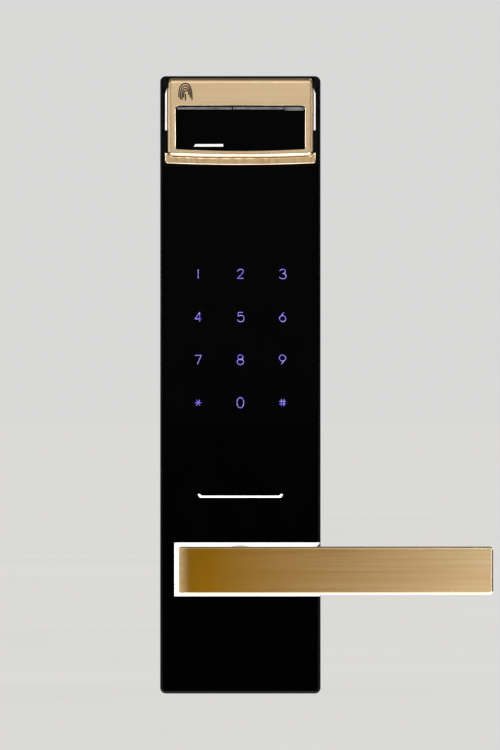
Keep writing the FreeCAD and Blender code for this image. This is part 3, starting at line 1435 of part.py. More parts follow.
BUILDERS = [
    outer_housing, glass_tape, front_glass, status_light_bar,
    touch_film, key_light_guide, main_board, key_leds, board_chips, cable_sockets, speaker, board_screws,
    fingerprint_bay, bay_lip, side_rails, sensor_module, sensor_trim, sensor_board, sensor_ribbon, bay_screws,
    cover_frame, cover_window, cover_trim, cover_backing, cover_screws, cover_magnet, cover_hinge_bar,
    cover_spring, cover_bumpers,
    lever_arm, lever_face_plate, lever_set_screw, lever_base_plate, base_plate_screws, hub_bushing,
    hub_washer, hub_retaining_ring, spindle, spring_cassette, cassette_lid, cassette_screws, drive_hub,
    return_spring,
    rear_chassis, door_gasket, chassis_screws, mounting_posts, cable_grommet, tamper_switch,
    battery_contacts,
]


def main():
    doc = FreeCAD.newDocument("DoorLock")
    layout = Layout(write_sheet(doc))
    for build in BUILDERS:
        build(doc, layout)
    doc.recompute()
    check(doc)
    os.makedirs("parts", exist_ok=True)
    for part in PARTS:
        part.Shape.exportStep(f"parts/{part.Label}.step")
        print(f"{part.Label}: {len(part.Shape.Solids)} solid(s), {part.Shape.Volume:.1f} mm3")


main()
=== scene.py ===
"""Looks of a keypad and fingerprint door lock: its finished pieces, its materials and a studio stage.

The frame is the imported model's own: metres, +X to the right and +Z up as the user faces the door, and +Y
into the door, so the lock's front faces -Y. The origin is on the spindle axis at the door's face.
"""

import json
import math

import bmesh
import bpy
from mathutils import Matrix, Vector


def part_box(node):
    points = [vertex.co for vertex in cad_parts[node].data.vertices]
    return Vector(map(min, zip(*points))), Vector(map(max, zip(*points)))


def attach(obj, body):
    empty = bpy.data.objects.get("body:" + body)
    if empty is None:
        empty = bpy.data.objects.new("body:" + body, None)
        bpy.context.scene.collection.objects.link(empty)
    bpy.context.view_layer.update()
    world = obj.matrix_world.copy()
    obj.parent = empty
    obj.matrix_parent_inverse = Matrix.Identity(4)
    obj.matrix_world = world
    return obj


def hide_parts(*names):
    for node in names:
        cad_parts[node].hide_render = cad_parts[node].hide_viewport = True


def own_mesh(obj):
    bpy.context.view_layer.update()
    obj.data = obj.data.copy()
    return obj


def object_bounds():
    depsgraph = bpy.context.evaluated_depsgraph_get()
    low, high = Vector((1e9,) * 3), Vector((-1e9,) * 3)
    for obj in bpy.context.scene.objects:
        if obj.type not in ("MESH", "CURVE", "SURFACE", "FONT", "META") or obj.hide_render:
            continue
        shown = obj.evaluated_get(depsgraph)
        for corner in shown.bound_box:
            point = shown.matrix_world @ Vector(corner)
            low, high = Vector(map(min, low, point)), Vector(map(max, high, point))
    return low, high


bl_info = {
    "name": "Door lock finishes",
    "version": (1, 0, 0),
    "blender": (4, 5, 0),
    "location": "3D View > Sidebar > Door Lock",
    "description": "Builds the visible pieces and materials of a keypad door lock with a lever handle",
    "category": "Object",
}

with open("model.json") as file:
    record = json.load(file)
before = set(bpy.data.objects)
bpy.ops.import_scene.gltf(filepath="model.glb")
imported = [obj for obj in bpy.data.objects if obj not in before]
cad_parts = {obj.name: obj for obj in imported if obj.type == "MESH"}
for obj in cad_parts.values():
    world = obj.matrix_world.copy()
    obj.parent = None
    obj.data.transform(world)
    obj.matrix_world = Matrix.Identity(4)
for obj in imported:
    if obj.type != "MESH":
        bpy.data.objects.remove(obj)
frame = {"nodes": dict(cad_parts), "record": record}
CAD_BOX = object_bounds()
NODES = frame["nodes"]
MM = 0.001


# ---------------------------------------------------------------------------------- sizes, colours


def linear(hex_colour):
    """An sRGB hex colour as linear red, green and blue."""
    channels = [int(hex_colour[i : i + 2], 16) / 255 for i in (1, 3, 5)]
    return tuple(c / 12.92 if c <= 0.04045 else ((c + 0.055) / 1.055) ** 2.4 for c in channels)


def length(name, description, millimetres):
    """A length property whose default is given in millimetres."""
    return bpy.props.FloatProperty(
        name=name, description=description, default=millimetres * MM, unit="LENGTH", min=0, precision=5
    )


def colour(name, description, hex_colour):
    """A colour property whose default is an sRGB hex colour."""
    return bpy.props.FloatVectorProperty(
        name=name, description=description, default=linear(hex_colour), subtype="COLOR", min=0, max=1
    )


class DoorLockSizes(bpy.types.PropertyGroup):
    """Sizes of what is drawn on the lock, and of its fine edges."""

    symbol_height: length("Symbol height", "Height of a key's lit symbol", 4.8)
    symbol_width: length("Symbol width", "Width of a key's lit symbol", 3.7)
    symbol_stroke: length("Symbol stroke", "Thickness of a lit line", 0.38)
    key_across: length("Key pitch across", "Distance between columns of keys", 21.05)
    key_down: length("Key pitch down", "Distance between rows of keys", 21.4)
    roll_radius: length("Roll radius", "Front radius where the lever's tail curls back", 24)
    roll_length: length("Roll length", "Length of the lever's curled tail, seen from the front", 13.8)
    face_thickness: length("Face thickness", "Thickness of the lever's gold face", 2)
    face_corner: length("Face corner", "Radius of the face's corners", 1.7)
    face_bevel: length("Face bevel", "Bevel round the lever's face", 0.6)
    # The rim inside the bevel is painted paler: a painted highlight.
    face_rim: length("Face rim", "Pale rim inside the face's bevel", 0.55)
    window_bevel: length("Window bevel", "Bright bevel round the cover's window", 0.9)
    cover_bevel: length("Cover bevel", "Bright bevel down the cover's sides", 0.6)
    print_height: length("Fingerprint symbol", "Height of the printed fingerprint symbol", 8)
    print_stroke: length("Printed line", "Thickness of a printed line", 0.62)


class DoorLockColours(bpy.types.PropertyGroup):
    """Colours of the lock's finishes."""

    gold: colour("Gold", "Champagne gold anodising", "#D6BC96")
    gold_shade: colour("Gold between lines", "The anodising between the brush lines", "#CDB088")
    # Painted shade: the darker gold that the lever's face is mixed towards along its length.
    gold_deep: colour("Deep gold", "The lever's anodising towards its tail", "#8E6412")
    gold_bright: colour("Bright gold", "Bevels cut after anodising", "#F6E8D0")
    lit_blue: colour("Symbol light", "Light of the key symbols", "#5A3DFF")
    housing_black: colour("Housing", "Black of the housing", "#030303")
    glass_black: colour("Glass print", "Black print behind the touch glass", "#010101")


def sizes():
    return bpy.context.scene.door_lock_sizes


def colours():
    return bpy.context.scene.door_lock_colours


# ---------------------------------------------------------------------------------- node trees


def add(tree, kind, inputs=None, **settings):
    """Adds a shader node. Inputs are values, or other nodes' sockets to link from."""
    node = tree.nodes.new("ShaderNode" + kind)
    for name, value in settings.items():
        setattr(node, name, value)
    for name, value in (inputs or {}).items():
        socket = node.inputs[name]
        if isinstance(value, bpy.types.NodeSocket):
            tree.links.new(value, socket)
        else:
            socket.default_value = value
    return node


def surface(name, inputs):
    """A material with one principled shader. Returns the material and its tree's shader."""
    material = bpy.data.materials.new(name)
    material.use_nodes = True
    tree = material.node_tree
    tree.nodes.clear()
    shader = add(tree, "BsdfPrincipled", inputs)
    output = add(tree, "OutputMaterial")
    tree.links.new(shader.outputs["BSDF"], output.inputs["Surface"])
    return material, tree, shader


def pattern(tree, size, detail=2.0, roughness=0.5):
    """Noise on the object's own coordinates. Size is that of its features along X, Y and Z in mm."""
    where = add(tree, "TexCoord").outputs["Object"]
    scale = tuple(1000 / s for s in size)
    stretched = add(tree, "Mapping", {"Vector": where, "Scale": scale}).outputs["Vector"]
    noise = {"Vector": stretched, "Scale": 1.0, "Detail": detail, "Roughness": roughness}
    return add(tree, "TexNoise", noise).outputs["Fac"]


def ranged(tree, value, low, high):
    """Noise, which lies mostly between 0.3 and 0.7, spread between two numbers."""
    spread = {"Value": value, "From Min": 0.3, "From Max": 0.7, "To Min": low, "To Max": high}
    return add(tree, "MapRange", spread).outputs["Result"]


def blended(tree, value, first, second):
    """Two colours mixed by noise."""
    factor = ranged(tree, value, 0.0, 1.0)
    mix = add(tree, "Mix", {"Factor": factor}, data_type="RGBA")
    mix.inputs["A"].default_value = (*first, 1)
    mix.inputs["B"].default_value = (*second, 1)
    return mix.outputs["Result"]


def bumped(tree, value, depth, strength=1.0):
    """A bump of that depth in millimetres."""
    bump = {"Height": value, "Distance": depth * MM, "Strength": strength}
    return add(tree, "Bump", bump).outputs["Normal"]


# ---------------------------------------------------------------------------------- materials


def brushed(name, fine, broad, first, second, roughness):
    """Brushed and anodised aluminium. Fine and broad are the sizes of its lines along X, Y and Z in mm."""
    material, tree, shader = surface(name, {"Metallic": 1.0})
    lines = pattern(tree, fine, detail=3.0, roughness=0.6)
    bands = pattern(tree, broad, detail=2.0)
    both = add(tree, "Math", {0: lines, 1: bands}, operation="ADD").outputs[0]
    mean = add(tree, "Math", {0: both, 1: 0.5}, operation="MULTIPLY").outputs[0]
    tree.links.new(blended(tree, mean, first, second), shader.inputs["Base Color"])
    tree.links.new(ranged(tree, lines, *roughness), shader.inputs["Roughness"])
    tree.links.new(bumped(tree, lines, 0.003), shader.inputs["Normal"])
    return material, tree, shader


def brushed_champagne_anodising():
    # Aluminium brushed along its length and anodised champagne gold: long fine lines, in low contrast. The
    # real lines are about 0.05 mm wide, and are drawn at 0.3 mm so that they show.
    shades = (colours().gold_shade, colours().gold)
    return brushed("brushed_champagne_anodising", (40, 0.3, 0.3), (60, 3, 1.6), *shades, (0.42, 0.5))[0]


def upright_brushed_anodising():
    # The lip is brushed across its length, so its lines stand upright.
    shades = (linear("#B58F58"), colours().gold)
    return brushed("upright_brushed_anodising", (0.5, 20, 20), (2.2, 30, 30), *shades, (0.4, 0.5))[0]


def dyed_towards_tail(tree, shader, most):
    """Painted shade: darken a gold along the lever, from its grip to the start of the curl.

    The curl's own end is paler: a painted highlight.
    """
    darkest_at, unshaded_at = -0.015, 0.12
    tail, curl_top = -0.0302, -0.0245
    pale = shader.inputs["Base Color"].links[0].from_socket
    where = add(tree, "SeparateXYZ", {0: add(tree, "TexCoord").outputs["Object"]}).outputs["X"]
    along = {"Value": where, "From Min": darkest_at, "From Max": unshaded_at, "To Min": most, "To Max": 0.0}
    depth = add(tree, "MapRange", along).outputs["Result"]
    curl = {"Value": where, "From Min": tail, "From Max": curl_top, "To Min": 0.25, "To Max": 1.0}
    end = add(tree, "MapRange", curl, interpolation_type="SMOOTHSTEP").outputs["Result"]
    both = add(tree, "Math", {0: depth, 1: end}, operation="MULTIPLY").outputs[0]
    painted_shade_mix = add(tree, "Mix", {"Factor": both}, data_type="RGBA")
    tree.links.new(pale, painted_shade_mix.inputs["A"])
    painted_shade_mix.inputs["B"].default_value = (*colours().gold_deep, 1)
    tree.links.new(painted_shade_mix.outputs["Result"], shader.inputs["Base Color"])


def brushed_anodising_painted_shade():
    # The lever's long face: the same brushing, with painted shade that darkens it towards the tail, and a
    # painted highlight that pales the curl's end.
    shades = (linear("#AD8F61"), linear("#C2AA87"))
    material, tree, shader = brushed(
        "brushed_anodising_painted_shade", (60, 0.3, 0.3), (110, 4, 2.4), *shades, (0.4, 0.5)
    )
    dyed_towards_tail(tree, shader, 1.0)
    return material


def cut_champagne_bevel():
    # The same aluminium where a cutter left a bright bevel after anodising: pale and smooth.
    material, tree, shader = surface(
        "cut_champagne_bevel", {"Base Color": (*colours().gold_bright, 1), "Metallic": 1.0}
    )
    tree.links.new(ranged(tree, pattern(tree, (6, 6, 6)), 0.12, 0.2), shader.inputs["Roughness"])
    return material


def pale_rim_painted_highlight():
    # A narrow rim beside the bevel: as soft as the brushed field, but paler, a painted highlight along the
    # face's edge.
    material, tree, shader = surface("pale_rim_painted_highlight", {"Metallic": 1.0})
    grain = pattern(tree, (0.4, 0.4, 0.4))
    tree.links.new(
        blended(tree, grain, linear("#D0B68D"), linear("#DDC7A2")), shader.inputs["Base Color"]
    )
    # The same painted shade along the lever as on its face.
    dyed_towards_tail(tree, shader, 0.8)
    tree.links.new(ranged(tree, grain, 0.42, 0.5), shader.inputs["Roughness"])
    return material


def polished_chrome():
    # Zinc casting, polished and chromium plated: a mirror with a trace of polishing haze.
    material, tree, shader = surface(
        "polished_chrome", {"Base Color": (*linear("#E6E7E9"), 1), "Metallic": 1.0}
    )
    haze = pattern(tree, (9, 9, 9), detail=4.0)
    tree.links.new(ranged(tree, haze, 0.05, 0.13), shader.inputs["Roughness"])
    return material


def pale_silver_painted_highlight():
    # Pale silver strip, near white and part metallic: its brightness is a painted highlight in place of the
    # light its polished faces catch, so it stays bright from every side.
    material, tree, shader = surface(
        "pale_silver_painted_highlight", {"Base Color": (*linear("#F7F7F7"), 1), "Metallic": 0.35}
    )
    grain = pattern(tree, (0.3, 0.3, 0.3))
    tree.links.new(ranged(tree, grain, 0.38, 0.5), shader.inputs["Roughness"])
    return material


def black_printed_glass():
    # Toughened glass with an anti-glare coat, and black ceramic print behind it: a deep black with a faint
    # clean reflection, and finger marks that only roughen it.
    material, tree, shader = surface(
        "black_printed_glass",
        {"Base Color": (*colours().glass_black, 1), "IOR": 1.5, "Specular IOR Level": 0.15},
    )
    marks = pattern(tree, (14, 14, 18), detail=5.0)
    tree.links.new(ranged(tree, marks, 0.02, 0.07), shader.inputs["Roughness"])
    return material


def gloss_black_polycarbonate():
    # Moulded polycarbonate, painted gloss black: slight orange peel in its reflections.
    material, tree, shader = surface(
        "gloss_black_polycarbonate",
        {"Base Color": (*colours().housing_black, 1), "IOR": 1.5, "Specular IOR Level": 0.12},
    )
    peel = pattern(tree, (1.6, 1.6, 1.6), detail=1.0)
    dust = pattern(tree, (7, 7, 7), detail=4.0)
    tree.links.new(ranged(tree, dust, 0.2, 0.3), shader.inputs["Roughness"])
    tree.links.new(bumped(tree, peel, 0.004, 0.5), shader.inputs["Normal"])
    return material


def smoked_acrylic():
    # Polished acrylic over a black tray: black from the front, with a clean sharp reflection.
    material, tree, shader = surface(
        "smoked_acrylic",
        {"Base Color": (*linear("#010102"), 1), "IOR": 1.49, "Specular IOR Level": 0.15},
    )
    marks = pattern(tree, (9, 9, 9), detail=4.0)
    tree.links.new(ranged(tree, marks, 0.02, 0.06), shader.inputs["Roughness"])
    return material


def textured_black_abs():
    # Moulded ABS with a fine spark-eroded grain: an even dark grey-black with no sharp highlight.
    material, tree, shader = surface("textured_black_abs", {"IOR": 1.53, "Specular IOR Level": 0.08})
    grain = pattern(tree, (0.35, 0.35, 0.35), detail=2.0)
    tree.links.new(blended(tree, grain, linear("#020202"), linear("#040405")), shader.inputs["Base Color"])
    tree.links.new(ranged(tree, grain, 0.48, 0.62), shader.inputs["Roughness"])
    tree.links.new(bumped(tree, grain, 0.02, 0.6), shader.inputs["Normal"])
    return material


def lit_symbol():
    # Light from the key lamps through an opening in the black print: blue violet, nearly white at its core.
    material, tree, shader = surface("lit_symbol", {"Base Color": (0, 0, 0, 1), "Roughness": 0.4})
    flicker = pattern(tree, (1.4, 1.4, 1.4), detail=1.0)
    tint = blended(tree, flicker, colours().lit_blue, linear("#B9ABFF"))
    tree.links.new(tint, shader.inputs["Emission Color"])
    shader.inputs["Emission Strength"].default_value = 1.0
    return material


def lamp_glow_and_painted_highlight():
    # Even white glow, with a slightly cooler edge: the key lamps, and a painted highlight on the bar below
    # the keys, which glows though no lamp lies behind it.
    material, tree, shader = surface(
        "lamp_glow_and_painted_highlight", {"Base Color": (*linear("#F4F4F6"), 1), "Roughness": 0.3}
    )
    cloud = pattern(tree, (8, 8, 8), detail=1.0)
    tint = blended(tree, cloud, linear("#F2F4FF"), linear("#FFFFFF"))
    tree.links.new(tint, shader.inputs["Emission Color"])
    shader.inputs["Emission Strength"].default_value = 0.9
    return material


def grey_screen_print():
    # Warm grey ink with a little metal powder in it.
    material, tree, shader = surface("grey_screen_print", {"Roughness": 0.6, "Specular IOR Level": 0.2})
    cloud = pattern(tree, (5, 5, 1.5), detail=3.0)
    tree.links.new(blended(tree, cloud, linear("#4C4A52"), linear("#77766F")), shader.inputs["Base Color"])
    return material


def black_pad_print():
    # Pad-printed black ink on the gold: flat and slightly rough.
    material, tree, shader = surface("black_pad_print", {"Roughness": 0.6, "Specular IOR Level": 0.1})
    grain = pattern(tree, (0.3, 0.3, 0.3))
    tree.links.new(blended(tree, grain, linear("#020202"), linear("#0A0806")), shader.inputs["Base Color"])
    return material


def zinc_plated_steel():
    # Pressed or turned steel, bright zinc plated: pale grey with cloudy variation in its gloss.
    material, tree, shader = surface("zinc_plated_steel", {"Metallic": 1.0})
    cloud = pattern(tree, (5, 5, 5), detail=5.0, roughness=0.6)
    tree.links.new(blended(tree, cloud, linear("#A9ADB1"), linear("#C6C9CC")), shader.inputs["Base Color"])
    tree.links.new(ranged(tree, cloud, 0.26, 0.44), shader.inputs["Roughness"])
    return material


def turned_steel():
    # Bright drawn bar: fine lines round or along it, and a cleaner shine than the plated parts.
    material, tree, shader = surface("turned_steel", {"Metallic": 1.0})
    lines = pattern(tree, (0.3, 24, 0.3), detail=3.0)
    tree.links.new(blended(tree, lines, linear("#9B9DA0"), linear("#BFC1C3")), shader.inputs["Base Color"])
    tree.links.new(ranged(tree, lines, 0.24, 0.38), shader.inputs["Roughness"])
    return material


def spring_steel():
    # Cold-drawn spring wire, oiled: dark, with a tight highlight.
    material, tree, shader = surface("spring_steel", {"Metallic": 1.0})
    film = pattern(tree, (2, 2, 2), detail=3.0)
    tree.links.new(blended(tree, film, linear("#6E6F72"), linear("#8C8D90")), shader.inputs["Base Color"])
    tree.links.new(ranged(tree, film, 0.22, 0.36), shader.inputs["Roughness"])
    return material


def black_oxide_steel():
    # Steel blackened in a hot bath: dull, and as good as black in the hinge's shade.
    material, tree, shader = surface("black_oxide_steel", {"Metallic": 1.0})
    film = pattern(tree, (2, 2, 2), detail=3.0)
    tree.links.new(blended(tree, film, linear("#0C0C0D"), linear("#1C1C1E")), shader.inputs["Base Color"])
    tree.links.new(ranged(tree, film, 0.45, 0.6), shader.inputs["Roughness"])
    return material


def cast_zinc():
    # Zinc alloy as it leaves the die: dull grey with faint flow marks.
    material, tree, shader = surface("cast_zinc", {"Metallic": 1.0})
    flow = pattern(tree, (3, 3, 8), detail=5.0, roughness=0.6)
    tree.links.new(blended(tree, flow, linear("#7C7E80"), linear("#98999B")), shader.inputs["Base Color"])
    tree.links.new(ranged(tree, flow, 0.42, 0.6), shader.inputs["Roughness"])
    tree.links.new(bumped(tree, flow, 0.02, 0.5), shader.inputs["Normal"])
    return material


def nickel_plating():
    # Nickel over brass: warm, bright and lightly rubbed.
    material, tree, shader = surface("nickel_plating", {"Metallic": 1.0})
    rub = pattern(tree, (1.5, 1.5, 1.5), detail=4.0)
    tree.links.new(blended(tree, rub, linear("#BDB6A8"), linear("#D6D0C4")), shader.inputs["Base Color"])
    tree.links.new(ranged(tree, rub, 0.14, 0.3), shader.inputs["Roughness"])
    return material


def green_circuit_board():
    # Glass-epoxy board under green solder resist: glossy, with the copper pattern showing as darker and
    # lighter green. The tracks are about 0.25 mm wide, and are drawn at 0.9 mm so that they show.
    material, tree, shader = surface("green_circuit_board", {"IOR": 1.5, "Roughness": 0.28})
    where = add(tree, "TexCoord").outputs["Object"]
    scaled = add(tree, "Mapping", {"Vector": where, "Scale": (550, 1, 550)}).outputs["Vector"]
    tracks = add(tree, "TexBrick", {"Vector": scaled, "Scale": 1.0}, offset=0.5, squash=1.4)
    tracks.inputs["Color1"].default_value = (*linear("#0B4A22"), 1)
    tracks.inputs["Color2"].default_value = (*linear("#0E5A2A"), 1)
    tracks.inputs["Mortar"].default_value = (*linear("#083517"), 1)
    tree.links.new(tracks.outputs["Color"], shader.inputs["Base Color"])
    return material


def amber_polyimide():
    # Flexible printed circuit: amber film over copper.
    material, tree, shader = surface("amber_polyimide", {"IOR": 1.7, "Roughness": 0.3})
    tracks = pattern(tree, (0.8, 30, 30), detail=0.0)
    tree.links.new(blended(tree, tracks, linear("#8A4A12"), linear("#C27A22")), shader.inputs["Base Color"])
    return material


def moulded_rubber():
    # Black EPDM: matt, with a bloom that lightens it in patches.
    material, tree, shader = surface("moulded_rubber", {"IOR": 1.5})
    bloom = pattern(tree, (6, 6, 6), detail=5.0)
    tree.links.new(blended(tree, bloom, linear("#141415"), linear("#232325")), shader.inputs["Base Color"])
    tree.links.new(ranged(tree, bloom, 0.72, 0.9), shader.inputs["Roughness"])
    tree.links.new(bumped(tree, pattern(tree, (0.5, 0.5, 0.5)), 0.03, 0.6), shader.inputs["Normal"])
    return material


def foam_tape():
    # Black acrylic foam tape: matt, with an open cell texture.
    material, tree, shader = surface("foam_tape", {"Roughness": 0.9})
    cells = pattern(tree, (0.25, 0.25, 0.25))
    tree.links.new(blended(tree, cells, linear("#101010"), linear("#1E1E1E")), shader.inputs["Base Color"])
    return material


def natural_nylon():
    # Moulded nylon: creamy, with light scattered a little way under its surface.
    material, tree, shader = surface(
        "natural_nylon", {"IOR": 1.53, "Subsurface Weight": 0.2, "Subsurface Scale": 0.001}
    )
    flow = pattern(tree, (4, 4, 4), detail=3.0)
    tree.links.new(blended(tree, flow, linear("#D8D2C0"), linear("#E9E4D6")), shader.inputs["Base Color"])
    tree.links.new(ranged(tree, flow, 0.38, 0.52), shader.inputs["Roughness"])
    return material


def clear_light_guide():
    # Frosted clear acrylic.
    material, tree, shader = surface(
        "clear_light_guide",
        {"Base Color": (*linear("#E8ECF0"), 1), "IOR": 1.49, "Transmission Weight": 0.6},
    )
    frost = pattern(tree, (0.4, 0.4, 0.4))
    tree.links.new(ranged(tree, frost, 0.25, 0.45), shader.inputs["Roughness"])
    return material


def black_epoxy():
    # Chip packages: moulded epoxy, dark grey and matt.
    material, tree, shader = surface("black_epoxy", {"Roughness": 0.6, "IOR": 1.55})
    grain = pattern(tree, (0.3, 0.3, 0.3))
    tree.links.new(blended(tree, grain, linear("#161618"), linear("#262628")), shader.inputs["Base Color"])
    return material


# Each CAD node's finish.
FINISHES = {
    "outer_housing": gloss_black_polycarbonate,
    "glass_tape": foam_tape,
    "front_glass": black_printed_glass,
    # The bar below the keys glows: a painted highlight.
    "status_light_bar": lamp_glow_and_painted_highlight,
    "touch_film": amber_polyimide,
    "key_light_guide": clear_light_guide,
    "main_board": green_circuit_board,
    "key_leds": lamp_glow_and_painted_highlight,
    "board_chips": black_epoxy,
    "cable_sockets": natural_nylon,
    "speaker": zinc_plated_steel,
    "board_screws": zinc_plated_steel,
    "fingerprint_bay": textured_black_abs,
    "bay_lip": upright_brushed_anodising,
    "left_side_rail": pale_silver_painted_highlight,
    "right_side_rail": pale_silver_painted_highlight,
    "sensor_module": textured_black_abs,
    "sensor_bezel": polished_chrome,
    "sensor_glass": black_printed_glass,
    "sensor_board": green_circuit_board,
    "sensor_ribbon": amber_polyimide,
    "bay_screws": zinc_plated_steel,
    "cover_frame": brushed_champagne_anodising,
    "cover_window": smoked_acrylic,
    "indicator_bars": grey_screen_print,
    "accent_bar": pale_silver_painted_highlight,
    "cover_backing": textured_black_abs,
    "cover_screws": zinc_plated_steel,
    "cover_magnet": nickel_plating,
    "cover_hinge_bar": black_oxide_steel,
    "cover_spring": spring_steel,
    "cover_bumpers": moulded_rubber,
    "lever_arm": polished_chrome,
    "lever_face_plate": brushed_anodising_painted_shade,
    "lever_set_screw": spring_steel,
    "lever_base_plate": polished_chrome,
    "base_plate_screws": zinc_plated_steel,
    "hub_bushing": natural_nylon,
    "hub_washer": natural_nylon,
    "hub_retaining_ring": spring_steel,
    "spindle": turned_steel,
    "spring_cassette": cast_zinc,
    "cassette_lid": zinc_plated_steel,
    "cassette_screws": zinc_plated_steel,
    "drive_hub": cast_zinc,
    "return_spring": spring_steel,
    "rear_chassis": zinc_plated_steel,
    "door_gasket": moulded_rubber,
    "chassis_screws": zinc_plated_steel,
    "upper_mounting_post": turned_steel,
    "lower_mounting_post": turned_steel,
    "cable_grommet": moulded_rubber,
    "tamper_switch": textured_black_abs,
    "tamper_plunger": natural_nylon,
    "tamper_spring": spring_steel,
    "battery_contacts": nickel_plating,
    "contact_holder": textured_black_abs,
}

# CAD nodes whose curved faces and edges show, and the width in mm of the bevel on their sharp edges.
REFINED = {
    "outer_housing": 0,
    "left_side_rail": 0.4,
    "right_side_rail": 0.4,
    "lever_arm": 0.12,
    "lever_base_plate": 0.12,
    "hub_bushing": 0.15,
    "hub_retaining_ring": 0.1,
    "spindle": 0.1,
    "cover_hinge_bar": 0.05,
    "cover_spring": 0,
    "return_spring": 0,
    "tamper_spring": 0,
    "tamper_plunger": 0.2,
    "upper_mounting_post": 0.2,
    "lower_mounting_post": 0.2,
    "cable_grommet": 0.2,
    "battery_contacts": 0.08,
    "sensor_bezel": 0.15,
    "sensor_glass": 0.1,
    "cover_bumpers": 0.05,
    "drive_hub": 0.15,
    "lever_set_screw": 0.08,
}


def finish(build):
    """The material that a function builds, made once."""
    existing = bpy.data.materials.get(build.__name__)
    return existing or build()


def slot_of(node):
    """The record's material slot for a CAD node."""
    return next(part["material_slot"] for part in frame["record"]["subparts"] if part["node"] == node)


# ---------------------------------------------------------------------------------- mesh work


def body_of(node):
    """The name of the body that a CAD node belongs to."""
    bodies = frame["record"]["behaviour"]["bodies"]
    return next(body for body, members in bodies.items() if node in members)


def new_piece(name, bm, materials, body, slot, *replaced):
    """Makes an object of a bmesh, and gives it its materials, its body and what it stands for."""
    mesh = bpy.data.meshes.new(name)
    bm.to_mesh(mesh)
    bm.free()
    for material in materials:
        mesh.materials.append(material)
    piece = bpy.data.objects.new(name, mesh)
    bpy.context.scene.collection.objects.link(piece)
    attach(piece, body)
    if replaced:
        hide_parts(*replaced)
    return piece


def block(bm, low, high):
    """A closed box between two corners, in metres."""
    centre, size = (low + high) / 2, high - low
    matrix = Matrix.Translation(centre) @ Matrix.Diagonal((*size, 1))
    return bmesh.ops.create_cube(bm, size=1.0, matrix=matrix)


def bevel(bm, edges, offset, segments):
    """Bevels edges. The geometry that is made is returned."""
    return bmesh.ops.bevel(
        bm, geom=edges, offset=offset, offset_type="OFFSET", segments=segments, profile=0.5,
        affect="EDGES", material=-1, clamp_overlap=True,
    )


def edges_along(bm, axis):
    """The edges parallel to an axis: 0, 1 or 2 for X, Y or Z."""
    return [
        edge for edge in bm.edges
        if abs((edge.verts[0].co - edge.verts[1].co).normalized()[axis]) > 0.999
    ]


def faces_towards(bm, direction, slack=0.999):
    """The faces that face a direction."""
    bm.normal_update()
    return [face for face in bm.faces if face.normal.dot(direction) > slack]


def soften(bm, angle):
    """Smooth shading, with sharp edges where faces meet at more than an angle in degrees."""
    bm.normal_update()
    for face in bm.faces:
        face.smooth = True
    for edge in bm.edges:
        edge.smooth = edge.calc_face_angle(0.0) < math.radians(angle)


def keep_flats_flat(piece):
    """Weights normals by face, so that flat faces beside rounds stay flat in reflections."""
    weighting = piece.modifiers.new("weighted_normals", "WEIGHTED_NORMAL")
    weighting.keep_sharp = True
    weighting.weight = 100


FRONT = Vector((0, -1, 0))


class PieceOperator:
    """What the operators share."""

    bl_options = {"REGISTER", "UNDO"}


# ---------------------------------------------------------------------------------- pieces


class DOORLOCK_OT_refined_parts(PieceOperator, bpy.types.Operator):
    """Refine the CAD parts whose curved faces and edges show"""

    bl_idname = "door_lock.refined_parts"
    bl_label = "Refined Parts"

    def execute(self, context):
        for node, edge in REFINED.items():
            bm = merged_copy(node)
            soften(bm, 28)
            piece = new_piece(
                node + "_finished", bm, [finish(FINISHES[node])], body_of(node), slot_of(node), node
            )
            if edge:
                softening = piece.modifiers.new("edge_bevel", "BEVEL")
                softening.width = edge * MM
                softening.segments = 3
                softening.limit_method = "ANGLE"
                softening.angle_limit = math.radians(35)
                softening.use_clamp_overlap = True
                softening.harden_normals = False
            keep_flats_flat(piece)
            if node == "tamper_spring":
                self.compress(piece)
        return {"FINISHED"}

    def compress(self, spring):
        """Give the tamper spring a mesh of its own; it is not shortened."""
        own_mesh(spring)


def merged_copy(node):
    """A bmesh of a CAD part with its triangles joined into whole faces."""
    bm = bmesh.new()
    bm.from_mesh(NODES[node].data)
    bmesh.ops.remove_doubles(bm, verts=bm.verts[:], dist=2e-6)
    bmesh.ops.dissolve_limit(bm, angle_limit=math.radians(0.4), verts=bm.verts[:], edges=bm.edges[:])
    return bm


def sharp_edges_at(bm, depth, test):
    """The sharp edges that lie at one depth and whose middles pass a test."""
    found = []
    for edge in bm.edges:
        flat = all(abs(vert.co.y - depth) < 2e-5 for vert in edge.verts)
        if flat and edge.calc_face_angle(0.0) > 0.8 and test((edge.verts[0].co + edge.verts[1].co) / 2):
            found.append(edge)
    return found


